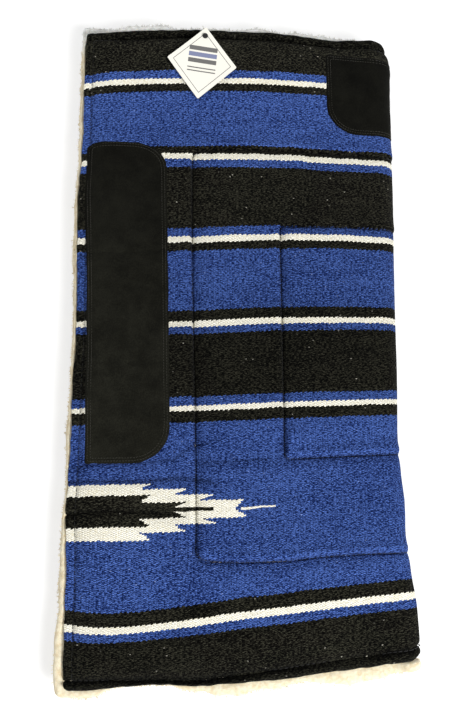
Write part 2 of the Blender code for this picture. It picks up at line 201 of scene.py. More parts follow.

# Painted light and shade: how much lighter or darker the cover's colour is made, at rows back from the
# front
PAINTED_LIGHT_ROWS = np.array([0, 10, 13, 40, 125, 235, 345, 450, 540, 620, 700, 780, 799, 804, 813]) / 1000
PAINTED_LIGHT = np.array([0.80, 0.80, 1.5, 1.38, 1.13, 1, 0.9, 0.68, 0.96, 0.90, 0.98, 0.93, 0.93, 0.72, 0.72])


def eased_curve(x, knots, values):
    """A smooth curve through values at knots, level past both ends. Each value may be an array."""
    values = np.asarray(values, float)
    x = np.clip(x, knots[0], knots[-1])
    slopes = np.gradient(values, knots, axis=0)
    index = np.clip(np.searchsorted(knots, x, side="right") - 1, 0, len(knots) - 2)
    width = knots[index + 1] - knots[index]
    t = (x - knots[index]) / width
    if values.ndim == 1:
        low, high, rise, fall = values[index], values[index + 1], slopes[index], slopes[index + 1]
    else:
        point = np.arange(len(x))
        low, high = values[index, point], values[index + 1, point]
        rise, fall = slopes[index, point], slopes[index + 1, point]
    return (
        (2 * t**3 - 3 * t**2 + 1) * low
        + (t**3 - 2 * t**2 + t) * width * rise
        + (3 * t**2 - 2 * t**3) * high
        + (t**3 - t**2) * width * fall
    )


def smooth(low, high, x):
    t = np.clip((x - low) / (high - low), 0, 1)
    return t * t * (3 - 2 * t)


def speck(i, j, seed):
    """A steady random number from 0 to 1 for each whole-number pair."""
    n = np.sin(i * 127.1 + j * 311.7 + seed * 74.7) * 43758.5453
    return n - np.floor(n)


def cloudy(u, v, size, seed):
    """Smooth random rises and dips from -1 to 1, about size apart."""
    x, y = u / size, v / size
    i, j = np.floor(x), np.floor(y)
    fx, fy = smooth(0, 1, x - i), smooth(0, 1, y - j)
    front = speck(i, j, seed) * (1 - fx) + speck(i + 1, j, seed) * fx
    rear = speck(i, j + 1, seed) * (1 - fx) + speck(i + 1, j + 1, seed) * fx
    return (front * (1 - fy) + rear * fy) * 2 - 1


def curls(u, v, size, seed):
    """Rounded clumps of fleece from 0 in the gaps to 1 at their tops."""
    i, j = np.floor(u / size), np.floor(v / size)
    best = np.full(np.shape(u), 9.0)
    for di in (-1, 0, 1):
        for dj in (-1, 0, 1):
            a, b = i + di, j + dj
            middle_u = (a + 0.15 + 0.7 * speck(a, b, seed)) * size
            middle_v = (b + 0.15 + 0.7 * speck(a, b, seed + 5)) * size
            best = np.minimum(best, np.hypot(u - middle_u, v - middle_v) / size)
    return np.clip(1 - (best / 0.85) ** 2, 0, 1)


def drift(across, back):
    """How far a point of the cloth lies behind its square place, in metres."""
    from_side = np.minimum(across, SPAN / 2)
    columns = [eased_curve(back, DRIFT_ROWS, DRIFT[:, line]) for line in range(len(DRIFT_LINES))]
    shift = eased_curve(from_side, DRIFT_LINES, columns)
    return shift / 1000 * (1 - 0.85 * smooth(SPAN / 2, SPAN - 0.15, across))


def set_out(across, back, height):
    """Points of the folded pad, from how far across, how far back and how high they are."""
    across, back, height = (np.asarray(a, float) for a in np.broadcast_arrays(across, back, height))
    flat_shape = across.shape
    across, back, height = across.ravel(), back.ravel(), height.ravel()
    angle = np.clip((across - FLAT) / FOLD_RADIUS, 0, math.pi)
    stretch = 1 + eased_curve(back, BULGE_ROWS, BULGE) / 1000 / FOLD_RADIUS
    x = SPINE_X - (FLAT - np.minimum(across, FLAT)) - np.maximum(across - (SPAN - FLAT), 0)
    x = x + height * np.sin(angle) * stretch
    x = x + eased_curve(back, SIDE_ROWS, SIDE) / 1000 * np.exp(-np.maximum(across, 0) / 0.03)
    y = FRONT_Y - back - drift(across, back)
    z = FOLD_RADIUS + height * np.cos(angle)
    return np.stack([x, y, z], axis=-1).reshape(*flat_shape, 3)


def side_distance(across):
    return np.minimum(across, SPAN - across)


def at_fold(across):
    """0 on the flat of each half, rising to 1 at the side of the fold."""
    return smooth(FLAT, SPAN / 2 - 0.004, side_distance(across))


def on_near(across):
    """1 on the near half, falling to 0 before the side of the fold."""
    return 1 - smooth(FLAT, SPAN / 2, across)


def rise(inward):
    """Share of the padding's full height, this far behind a seam."""
    along = np.clip(inward / EDGE_ROLL, 0, 1)
    return (1 - (1 - along) ** 2) ** 0.62


def stray(across, back):
    """How far the outer box's seam has strayed from square: towards the fold, and towards the rear."""
    from_side = side_distance(across)
    inward = 0.0062 * smooth(0.25, 0.65, back)
    rearward = np.interp(from_side, STRAY_LINES, STRAY) / 1000 * smooth(0.60, 0.68, back)
    return inward, rearward


def ridge(away, width, power=2):
    """1 on a line, falling away on both sides of it over about this width."""
    return np.exp(-(np.abs(away / width) ** power))


def depth_in(across, back, box, corner):
    """How far inside a box with round corners a point lies, less than 0 outside it."""
    start, stop, front, rear = box
    side = np.abs(across - (start + stop) / 2) - ((stop - start) / 2 - corner)
    end = np.abs(back - (front + rear) / 2) - ((rear - front) / 2 - corner)
    outside = np.hypot(np.maximum(side, 0), np.maximum(end, 0))
    return corner - outside - np.minimum(np.maximum(side, end), 0)


def seam_distance(across, back, box, corner):
    """Signed distance to a quilted box's seam, less than 0 inside it."""
    if box is OUTER_BOX:
        inward, rearward = stray(across, back)
        across = across + np.where(across < SPAN / 2, -inward, inward)
        back = back - rearward
    else:
        corner = corner * INNER_ROUND
    return -depth_in(across, back, box, corner)


def quilt_dip(across, back, settings):
    """How far the two boxes of quilting draw the cover down, with a dimple at each stitch.

    The cloth drops steeply on the side that was pushed up against the seam, and rises gently past it.
    """
    dip = np.zeros(np.shape(across))
    steep, gentle = settings.valley_width * 0.5, settings.valley_width * 1.6
    for box in (OUTER_BOX, INNER_BOX):
        away = seam_distance(across, back, box, settings.box_corner)
        along = np.where(side_distance(across) < box[0] + 0.014, back, across)
        stitch = np.cos(2 * math.pi * along / settings.stitch_pitch)
        behind = smooth(box[3] - 0.045, box[3] - 0.015, back)
        reach = np.where(away < 0, gentle + (steep - gentle) * behind, steep + (gentle - steep) * behind)
        steep_side = np.where(behind > 0.5, -away, away)
        lip = ridge(steep_side - 0.0065, 0.0050) * (steep_side > -0.002)
        dip = dip + settings.valley_depth * ridge(away, reach, 1.15)
        dip = dip + settings.crease_depth * ridge(away, 0.0011)
        dip = dip + 0.0004 * stitch * ridge(away, 0.0022)
        dip = dip - settings.lip_height * (0.45 + 0.55 * behind) * lip
    return dip * (1 - 0.75 * at_fold(across))


def pucker(across, back):
    """Small gathers that run in from the side seam and the hems, and cloth that never lies flat."""
    from_side = np.maximum(side_distance(across) - SEAM_MARGIN, 0)
    from_end = np.maximum(np.minimum(back, PAD_LENGTH - back) - HEM_WIDTH, 0)
    gathers = 0.0006 * cloudy(across * 0.25, back, 0.017, 3) * np.exp(-from_side / 0.022)
    gathers = gathers + 0.0006 * cloudy(across, back * 0.25, 0.019, 4) * np.exp(-from_end / 0.022)
    broad = 0.0006 * cloudy(across, back, 0.085, 7) + 0.0004 * cloudy(across, back, 0.038, 8)
    fine = 0.00012 * cloudy(across, back, 0.008, 9)
    return (gathers + broad) * on_near(across) + fine


def storage_creases(across, back):
    """How far the near half dips in the creases that folding it away has left."""
    dip = np.zeros(np.shape(across))
    for places, rows, depth, reach in CREASES:
        places, rows = np.array(places) / 1000, np.array(rows) / 1000
        past = (back - np.interp(across, places, rows)) * 1000
        along = smooth(places[0] - 0.010, places[0] + 0.010, across)
        along = along * (1 - smooth(places[-1] - 0.015, places[-1] + 0.015, across))
        wide = np.exp(-((np.abs(past) / (reach * np.where(past > 0, 1.3, 0.8))) ** 1.3))
        dip = dip + along * depth / 1000 * (0.65 * wide + 0.35 * np.exp(-((past / 1.5) ** 2)))
    return dip


# The relaxed cloth: its heights once it has run, its cells' size, the most that it adds, its frames
PUFF = {}
PUFF_STEP = 0.007
PUFF_CAP = 0.0030
RELAX_FRAMES = 20
RELAX_SETTINGS = (("vertex_group_mass", "sewn"), ("quality", 5), ("mass", 0.3), ("bending_stiffness", 2.0),
                  ("shrink_min", -0.012), ("use_pressure", True), ("uniform_pressure_force", 4.0))


def read_points(mesh):
    points = np.zeros(len(mesh.vertices) * 3)
    mesh.vertices.foreach_get("co", points)
    return points.reshape(-1, 3)


def relax_quilt():
    """Lets the quilted cover swell between its seams as cloth, and keeps its heights.

    The sheet is pinned along every seam, a little too large for its place, and has air under it.
    """
    scene = bpy.context.scene
    columns, rows = round(SPAN / 2 / PUFF_STEP), round(PAD_LENGTH / PUFF_STEP)
    bpy.ops.object.select_all(action="DESELECT")
    bpy.ops.mesh.primitive_grid_add(x_subdivisions=columns, y_subdivisions=rows, size=2)
    sheet = bpy.context.object
    points = read_points(sheet.data)
    column = np.rint((points[:, 0] + 1) / 2 * columns).astype(int)
    row = np.rint((points[:, 1] + 1) / 2 * rows).astype(int)
    across = column / columns * SPAN / 2
    back = row / rows * PAD_LENGTH
    height = 0.0004 * cloudy(across, back, 0.03, 21)
    sheet.data.vertices.foreach_set("co", np.stack([across, -back, height], 1).ravel())
    sheet.data.update()
    seam = np.minimum(np.minimum(across - SEAM_MARGIN, back - HEM_WIDTH), PAD_LENGTH - HEM_WIDTH - back)
    for box in (OUTER_BOX, INNER_BOX):
        seam = np.minimum(seam, np.abs(seam_distance(across, back, box, BOX_CORNER)))
    beside = (back > SIDE_BOX[2]) & (back < SIDE_BOX[3])
    for line in (SIDE_BOX[0] + 0.004, SIDE_BOX[1] - 0.004):
        seam = np.where(beside, np.minimum(seam, np.abs(across - line)), seam)
    sewn = sheet.vertex_groups.new(name="sewn")
    sewn.add([int(i) for i in np.flatnonzero(seam < PUFF_STEP * 0.55)], 1.0, "REPLACE")
    cloth = sheet.modifiers.new("Cloth", "CLOTH")
    for name, value in RELAX_SETTINGS:
        setattr(cloth.settings, name, value)
    cloth.settings.effector_weights.gravity = 0.0
    cloth.point_cache.frame_start = 1
    cloth.point_cache.frame_end = RELAX_FRAMES
    for number in range(1, RELAX_FRAMES + 1):
        scene.frame_set(number)
    heights = np.zeros((columns + 1, rows + 1))
    relaxed = sheet.evaluated_get(bpy.context.evaluated_depsgraph_get())
    heights[column, row] = read_points(relaxed.data)[:, 2]
    scene.frame_set(1)
    bpy.data.objects.remove(sheet, do_unlink=True)
    PUFF["field"] = PUFF_CAP * np.tanh(heights / PUFF_CAP)
    PUFF["cells"] = (columns / (SPAN / 2), rows / PAD_LENGTH)
    print(f"cover relaxed, lowest {heights.min():.5f}, highest {heights.max():.5f}")


def puff(across, back):
    """Height that the relaxed cloth adds, read smoothly between its points."""
    if "field" not in PUFF:
        return np.zeros(np.shape(across))
    field = PUFF["field"]
    u = side_distance(across) * PUFF["cells"][0]
    v = np.clip(back, 0, PAD_LENGTH) * PUFF["cells"][1]
    i, j = np.floor(u).astype(int), np.floor(v).astype(int)

    def weights(f):
        return (
            (1 - f) ** 3 / 6,
            (3 * f**3 - 6 * f**2 + 4) / 6,
            (-3 * f**3 + 3 * f**2 + 3 * f + 1) / 6,
            f**3 / 6,
        )

    total = np.zeros(np.shape(u))
    for a, wa in enumerate(weights(u - i)):
        for b, wb in enumerate(weights(v - j)):
            ai = np.clip(i + a - 1, 0, field.shape[0] - 1)
            bj = np.clip(j + b - 1, 0, field.shape[1] - 1)
            total = total + field[ai, bj] * wa * wb
    return total


def loft(across, back, settings):
    """Height of the padding under the cover."""
    on_arc = 0.85 * (1 - smooth(0.034, 0.085, np.abs(across - SPAN / 2)))
    front, rear = rise(back - HEM_WIDTH), rise(PAD_LENGTH - back - HEM_WIDTH)
    edges = rise(side_distance(across) - SEAM_MARGIN) * (front + (1 - front) * on_arc)
    edges = edges * (rear + (1 - rear) * on_arc)
    near = on_near(across)
    over_width = np.sin(math.pi * np.clip(across / FLAT, 0, 1)) ** 2
    over_length = np.sin(math.pi * np.clip(back / PAD_LENGTH, 0, 1)) ** 2
    height = CORE_THICKNESS * edges + CROWN_HEIGHT * over_width * over_length
    height = height - quilt_dip(across, back, settings)
    swell = puff(across, back)
    height = height + (swell * near + np.minimum(swell - 0.003, 0) * 0.35 * (1 - near)) * edges
    height = height + pucker(across, back) * edges - storage_creases(across, back) * near
    flat_limit = CORE_THICKNESS - 0.0001
    return np.where(across > SPAN / 2, np.minimum(height, flat_limit), height)


def hem_crease(across, back):
    """Where each hem's crease lies, as a distance from it, and how deep it is there."""
    from_side = side_distance(across)
    width = eased_curve(from_side.ravel(), HEM_LINES, REAR_HEM).reshape(np.shape(across))
    front = back < PAD_LENGTH / 2
    depth = np.where(front, 0.3 + 0.7 * smooth(0.020, 0.050, from_side), 1.0)
    past = np.where(front, back - FRONT_CREASE, PAD_LENGTH - back - width / 1000)
    return past, depth * (1 - 0.5 * at_fold(across))


def cover_top(across, back, settings):
    """The cover's outer face, with its rolled hems, the creases beside them and the side seam."""
    from_end = np.minimum(back, PAD_LENGTH - back)
    from_side = side_distance(across)
    past, depth = hem_crease(across, back)
    hem_width = np.maximum(from_end - past, 0.004)
    bead = np.sin(math.pi * np.clip(from_end / hem_width, 0, 1) ** 0.8)
    hem = (HEM_HEIGHT - COVER_THICKNESS) * bead * (1.4 + 0.3 * cloudy(across, back, 0.014, 12))
    hem = hem * (1 - 0.85 * at_fold(across))
    crease = 0.0022 * depth * (ridge(past, 0.0036) + ridge(past, 0.0013))
    stitch = np.cos(2 * math.pi * back / settings.stitch_pitch)
    side = (0.0005 + 0.0003 * stitch) * ridge(from_side - SEAM_MARGIN, 0.0016)
    lip = 0.0007 * (1 - smooth(0.001, 0.006, from_side))
    return COVER_LEVEL + loft(across, back, settings) + COVER_THICKNESS + hem - crease - side + lip


def painted_cloth_shade(across, back, settings):
    """Painted shade and light: dark in seam and crease valleys, light on seam lips, varied by rows back."""
    past, depth = hem_crease(across, back)
    painted_shade_depth = quilt_dip(across, back, settings) + 3.2 * storage_creases(across, back) * on_near(across)
    painted_shade_depth = painted_shade_depth + 0.0085 * depth * ridge(past, 0.0028, 1.5)
    return np.clip(1 - 62 * painted_shade_depth, 0.36, 1.12) * np.interp(back, PAINTED_LIGHT_ROWS, PAINTED_LIGHT)


def drawn_in(across, back):
    """How far the cover's rear hem has slipped forwards at the fold, where the fleece curls past it."""
    from_side = side_distance(across)
    slip = 0.0020 * smooth(0.350, 0.368, from_side) + 0.0045 * smooth(0.388, 0.404, from_side)
    return slip * smooth(PAD_LENGTH - 0.045, PAD_LENGTH, back)


def leather_askew(across, back):
    """The near side leather is sewn on a little askew: how far in and how far back its points lie."""
    from_edge = np.clip((across - SIDE_BOX[0]) / SIDE_WIDTH, 0, 1)
    front = 1 - smooth(SIDE_BOX[2], SIDE_BOX[2] + 0.12, back)
    return (0.0275 - 0.006 * from_edge) * (back - 0.371), 0.0042 * smooth(0.035, 0.090, across) * front


def under_leather(across, back):
    """How far the cover is let down where a leather lies on it."""
    inward, rearward = leather_askew(across, back)
    near = across < SPAN / 2
    side_place = np.where(near, across - inward, SPAN - across)
    side = depth_in(side_place, back - rearward * near, SIDE_BOX, SIDE_ROUND)
    withers = depth_in(across, back, WITHERS_BOX, WITHERS_ROUND)
    return 0.0013 * smooth(0.001, 0.0035, np.maximum(side, withers))


def proud_at(across, leather):
    """How far a leather stands above the cover: less and less towards the floor."""
    return leather.proud * (1 - smooth(FLAT, SPAN - FLAT, across))


def spaced(start, stop, step):
    """Even lines from start to stop, both included."""
    return np.linspace(start, stop, max(1, round((stop - start) / step)) + 1)


def joined_lines(*parts):
    """Lines in order, with those that nearly coincide made one."""
    lines = np.unique(np.concatenate([np.asarray(part, float) for part in parts]))
    kept = [lines[0]]
    for line in lines[1:]:
        if line - kept[-1] > 0.00025:
            kept.append(line)
        elif line == lines[-1]:
            kept[-1] = line
    return np.array(kept)


def grid(lines, rows):
    """How far across and how far back each crossing of the lines and rows lies."""
    return np.meshgrid(lines, rows, indexing="ij")


def beside_seam(line):
    """Lines close together on both sides of a seam."""
    return spaced(line - 0.004, line + 0.004, 0.0008)


def zone_lines(zone, edge, near_step, arc_step, off_step):
    """Lines across one of a layer's four pieces, close together next to its cuts."""
    first, last = max(zone.first, FLAT), min(zone.last, SPAN - FLAT)
    opening = [first, first + BESIDE_CUT] if zone.first else spaced(edge, FLAT, near_step)
    closing = [last - BESIDE_CUT, last] if zone.last < SPAN else spaced(last, SPAN - edge, off_step)
    return joined_lines(opening, spaced(first, last, arc_step), closing)


def round_corners(u, v, box, radii):
    """Grid points of a box, with those near its corners moved on to their rounds.

    The radii are those of the start's front and rear corner, and then of the stop's.
    """
    start, stop, front, rear = box
    corners = ((start, 1, front, 1), (start, 1, rear, -1), (stop, -1, front, 1), (stop, -1, rear, -1))
    for radius, (side, inward, end, onward) in zip(radii, corners):
        a, b = radius - (u - side) * inward, radius - (v - end) * onward
        near = (a > 0) & (b > 0)
        pull = np.maximum(a, b) / np.maximum(np.hypot(a, b), 1e-9)
        u = np.where(near, side + inward * (radius - a * pull), u)
        v = np.where(near, end + onward * (radius - b * pull), v)
    return u, v


def grid_faces(index):
    """Four-sided faces between the lines and rows of a grid of point numbers."""
    corners = index[:-1, :-1], index[1:, :-1], index[1:, 1:], index[:-1, 1:]
    return np.stack([corner.ravel() for corner in corners], 1)


def sheet_mesh(name, across, back, upper, lower, keep_across=1, keep_back=1):
    """A closed sheet from two grids of points; the lower face keeps only some of the lines.

    upper and lower are arrays of points, one for each line across and each row back.
    """
    columns, rows = upper.shape[:2]
    kept_columns = sorted(set(range(0, columns, keep_across)) | {columns - 1})
    kept_rows = sorted(set(range(0, rows, keep_back)) | {rows - 1})
    kept = np.ix_(kept_columns, kept_rows)
    top = np.arange(columns * rows).reshape(columns, rows)
    low = columns * rows + np.arange(len(kept_columns) * len(kept_rows)).reshape(len(kept_columns), -1)
    faces = grid_faces(top)[:, ::-1].tolist() + grid_faces(low).tolist()
    for line, under, marks, way in (
        (top[:, 0], low[:, 0], kept_columns, 1), (top[:, -1], low[:, -1], kept_columns, -1),
        (top[0], low[0], kept_rows, -1), (top[-1], low[-1], kept_rows, 1),
    ):
        for number, (first, last) in enumerate(zip(marks, marks[1:])):
            rim = [*line[first : last + 1].tolist(), int(under[number + 1]), int(under[number])]
            faces.append(rim[::way])
    mesh = bpy.data.meshes.new(name)
    mesh.from_pydata(np.concatenate([upper.reshape(-1, 3), lower[kept].reshape(-1, 3)]).tolist(), [], faces)
    plan = np.stack(grid(across, back), -1)
    flat = np.concatenate([plan.reshape(-1, 2), plan[kept].reshape(-1, 2)])
    corner = np.zeros(len(mesh.loops), int)
    mesh.loops.foreach_get("vertex_index", corner)
    mesh.uv_layers.new(name="cloth").data.foreach_set("uv", flat[corner].ravel())
    return turned_outwards(mesh)


def tubes_mesh(name, middles, across, over, turns):
    """Closed tubes from the middles of their rings and the rings' half widths in two directions."""
    count, rings = middles.shape[:2]
    points = []
    for turn in range(turns):
        angle = 2 * math.pi / turns * turn
        points.append(middles + across * math.cos(angle) + over * math.sin(angle))
    base = np.arange(count)[:, None] * rings * turns
    around = np.arange(turns)
    faces = []
    for ring in range(0, (rings - 1) * turns, turns):
        for turn, after in zip(around, np.roll(around, -1)):
            face = [ring + turn, ring + after, ring + turns + after, ring + turns + turn]
            faces += (base + face).tolist()
    faces += (base + around[::-1]).tolist() + (base + (rings - 1) * turns + around).tolist()
    mesh = bpy.data.meshes.new(name)
    mesh.from_pydata(np.stack(points, 2).reshape(-1, 3).tolist(), [], faces)
    return turned_outwards(mesh)


def turned_outwards(mesh):
    shape = bmesh.new()
    shape.from_mesh(mesh)
    if shape.calc_volume(signed=True) < 0:
        bmesh.ops.reverse_faces(shape, faces=shape.faces)
    shape.to_mesh(mesh)
    shape.free()
    return mesh


def new_piece(name, mesh, material, sharp_angle=50):
    piece = bpy.data.objects.new(name, mesh)
    bpy.context.scene.collection.objects.link(piece)
    mesh.shade_smooth()
    mesh.set_sharp_from_angle(angle=math.radians(sharp_angle))
    mesh.materials.append(material)
    return piece


def bend(piece):
    """Bakes a piece's placement into its mesh; it does not bend the piece."""
    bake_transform(piece)


def layer_piece(zone, name, mesh, material, layer=None, sharp_angle=50):
    """Adds one of a layer's four pieces, in place of its solids where a layer is named."""
    piece = new_piece(f"{zone.name}_{name}", mesh, material, sharp_angle)
    bend(piece)
    if layer:
        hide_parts(*(f"{part}_{layer}" for part in zone.nodes))
    return piece


# Materials

class Value:
    """A node's output. Reckoning with it as with a number adds Math nodes."""

    def __init__(self, tree, socket):
        self.tree, self.socket = tree, socket

    def reckon(self, operation, first, second=0.0):
        return add_node(self.tree, "Math", {0: first, 1: second}, operation=operation)


def add_operator(name, operation, turned=False):
    """Lets Values be used with one of Python's operators, or gives them one more method."""

    def operator(self, other=0.0):
        return self.reckon(operation, *((other, self) if turned else (self, other)))

    setattr(Value, name, operator)


for name, operation in (
    ("__add__", "ADD"), ("__sub__", "SUBTRACT"), ("__mul__", "MULTIPLY"), ("__truediv__", "DIVIDE"),
    ("__mod__", "MODULO"), ("__lt__", "LESS_THAN"), ("__gt__", "GREATER_THAN"), ("__abs__", "ABSOLUTE"),
    ("floor", "FLOOR"), ("larger", "MAXIMUM"), ("smaller", "MINIMUM"),
):
    add_operator(name, operation)
add_operator("__rsub__", "SUBTRACT", turned=True)


def add_node(tree, kind, inputs=None, outlet=0, **options):
    """A new node's output. Its inputs are numbers, colours or other nodes' Values."""
    node = tree.nodes.new(f"ShaderNode{kind}")
    for name, value in options.items():
        setattr(node, name, value)
    for name, value in (inputs or {}).items():
        socket = node.inputs[name]
        if isinstance(value, Value):
            tree.links.new(value.socket, socket)
        elif isinstance(value, (int, float)):
            socket.default_value = value
        else:
            socket.default_value = (*tuple(value)[:3], 1.0)[: len(socket.default_value)]
    return Value(tree, node.outputs[outlet])


def parts_of(value, kind="SeparateXYZ"):
    """The three parts of a place or a colour."""
    node = value.tree.nodes.new(f"ShaderNode{kind}")
    value.tree.links.new(value.socket, node.inputs[0])
    return [Value(value.tree, socket) for socket in node.outputs]


def new_material(name, roughness, sheen=0.0, sheen_roughness=0.5, specular=0.3):
    material = bpy.data.materials.new(name)
    material.use_nodes = True
    shader = material.node_tree.nodes["Principled BSDF"]
    shader.inputs["Roughness"].default_value = roughness
    shader.inputs["Sheen Weight"].default_value = sheen
    shader.inputs["Sheen Roughness"].default_value = sheen_roughness
    shader.inputs["Specular IOR Level"].default_value = specular
    return material, material.node_tree, shader


def coat(material, shader, colour, height, distance):
    """Gives a material its colour and its relief."""
    tree = material.node_tree
    tree.links.new(colour.socket, shader.inputs["Base Color"])
    relief = add_node(tree, "Bump", {"Strength": 1.0, "Distance": distance, "Height": height})
    tree.links.new(relief.socket, shader.inputs["Normal"])
    return material


def object_place(tree):
    return add_node(tree, "TexCoord", outlet="Object")


def blended(share, first, second):
    """A mix of two colours; share is a Value."""
    return add_node(share.tree, "Mix", {0: share, 6: first, 7: second}, 2, data_type="RGBA")


def scaled(colour, amount):
    """A colour made lighter or darker."""
    return add_node(colour.tree, "VectorMath", {0: colour, 3: amount}, operation="SCALE")


def noise(place, scale, detail=2.0, roughness=0.5, stretch=None):
    """Soft random tones; its mean is a half."""
    if stretch is not None:
        place = add_node(place.tree, "Mapping", {"Scale": stretch, "Vector": place})
    inputs = {"Scale": scale, "Detail": detail, "Roughness": roughness, "Vector": place}
    return add_node(place.tree, "TexNoise", inputs, "Fac")


def random_at(column, row, draw=0.0):
    """A random number for each whole-number pair."""
    place = add_node(column.tree, "CombineXYZ", {0: column, 1: row, 2: draw})
    return add_node(column.tree, "TexWhiteNoise", {"Vector": place}, "Value", noise_dimensions="3D")


def eased(value, low, high, to_low=0.0, to_high=1.0, kind="SMOOTHSTEP"):
    inputs = {"From Min": low, "From Max": high, "To Min": to_low, "To Max": to_high, "Value": value}
    return add_node(value.tree, "MapRange", inputs, interpolation_type=kind)


def steps(value, stops, constant=True):
    """A ColorRamp with a colour or a grey at each stop."""
    node = value.tree.nodes.new("ShaderNodeValToRGB")
    ramp = node.color_ramp
    ramp.interpolation = "CONSTANT" if constant else "LINEAR"
    while len(ramp.elements) > 1:
        ramp.elements.remove(ramp.elements[-1])
    for number, (place, colour) in enumerate(stops):
        element = ramp.elements[0] if number == 0 else ramp.elements.new(place)
        element.position = place
        colour = (colour,) * 3 if isinstance(colour, (int, float)) else colour
        element.color = (*colour, 1.0)
    value.tree.links.new(value.socket, node.inputs[0])
    return Value(value.tree, node.outputs[0])


MADE = {}


def finish_of(maker, *settings):
    """A material made by one of the makers below, made only once."""
    if maker not in MADE:
        MADE[maker] = maker(*settings)
    return MADE[maker]


BLUE, BLACK, CREAM = (1, 0, 0), (0, 1, 0), (0, 0, 1)
STRIPES = (
    (0, BLACK), (57.2, BLUE), (68.6, CREAM), (75.1, BLACK), (85.6, BLUE), (165.6, BLACK),
    (176.1, CREAM), (184.2, BLUE), (194.7, BLACK), (274.4, BLUE), (286.4, CREAM), (294.3, BLACK),
    (305.7, BLUE), (381.7, BLACK), (395.1, CREAM), (402.7, BLUE), (412.3, BLACK), (489.4, BLUE),
    (499.8, CREAM), (506.9, BLACK), (520, BLUE), (722, BLACK), (736.5, CREAM), (744.4, BLUE),
    (754.5, BLACK),
)
# Stripes sit this much ahead of their listed rows
STRIPE_SHIFT = 0.0004
ARROW_MIDDLE = 0.6216
# Half heights of the arrow's steps, and how far across each reaches, in millimetres
ARROW_CREAM = ((0, 191.5), (1.2, 192), (9.8, 203), (9.9, 152), (16.3, 168), (16.4, 119.5),
               (23.5, 135), (23.6, 79.5), (30.0, 95.5), (30.1, -30))
ARROW_BLACK = ((0, 119.5), (2.2, 121), (8.6, 134), (8.7, 81), (17.0, 94), (17.1, -30))
# The arrow is read from a ramp of this height, on reaches from the first to the second, in millimetres
ARROW_HEIGHT = 40
ARROW_REACH = (-30, 220)
# A thin line runs on from the arrow's tip: where it is black and where it is cream, in metres across
TIP_BLACK_END = 0.165
TIP_CREAM = (0.1970, 0.2385)


def stripe_of(back):
    """The stripe's colour at a row. One ramp would be too coarse, so each quarter has its own."""
    edges = [(edge / 1000 - STRIPE_SHIFT, tone) for edge, tone in STRIPES]
    colour = None
    for part in range(4):
        start = part * PAD_LENGTH / 4
        stops = [(0, [tone for edge, tone in edges if edge <= start][-1])]
        stops += [((edge - start) * 4 / PAD_LENGTH, tone) for edge, tone in edges
                  if start < edge < start + PAD_LENGTH / 4]
        ramp = steps((back - start) * (4 / PAD_LENGTH), stops)
        colour = ramp if colour is None else blended(back > start, colour, ramp)
    return colour


def within_arrow(away, side_u, table):
    """1 in a part of the arrow, from how far a place is from its middle line and from the side."""
    lowest, highest = ARROW_REACH
    stops = [(half / ARROW_HEIGHT, (reach - lowest) / (highest - lowest)) for half, reach in table]
    reach = steps(away / (ARROW_HEIGHT / 1000), stops, constant=False)
    return (side_u - lowest / 1000) / ((highest - lowest) / 1000) < reach


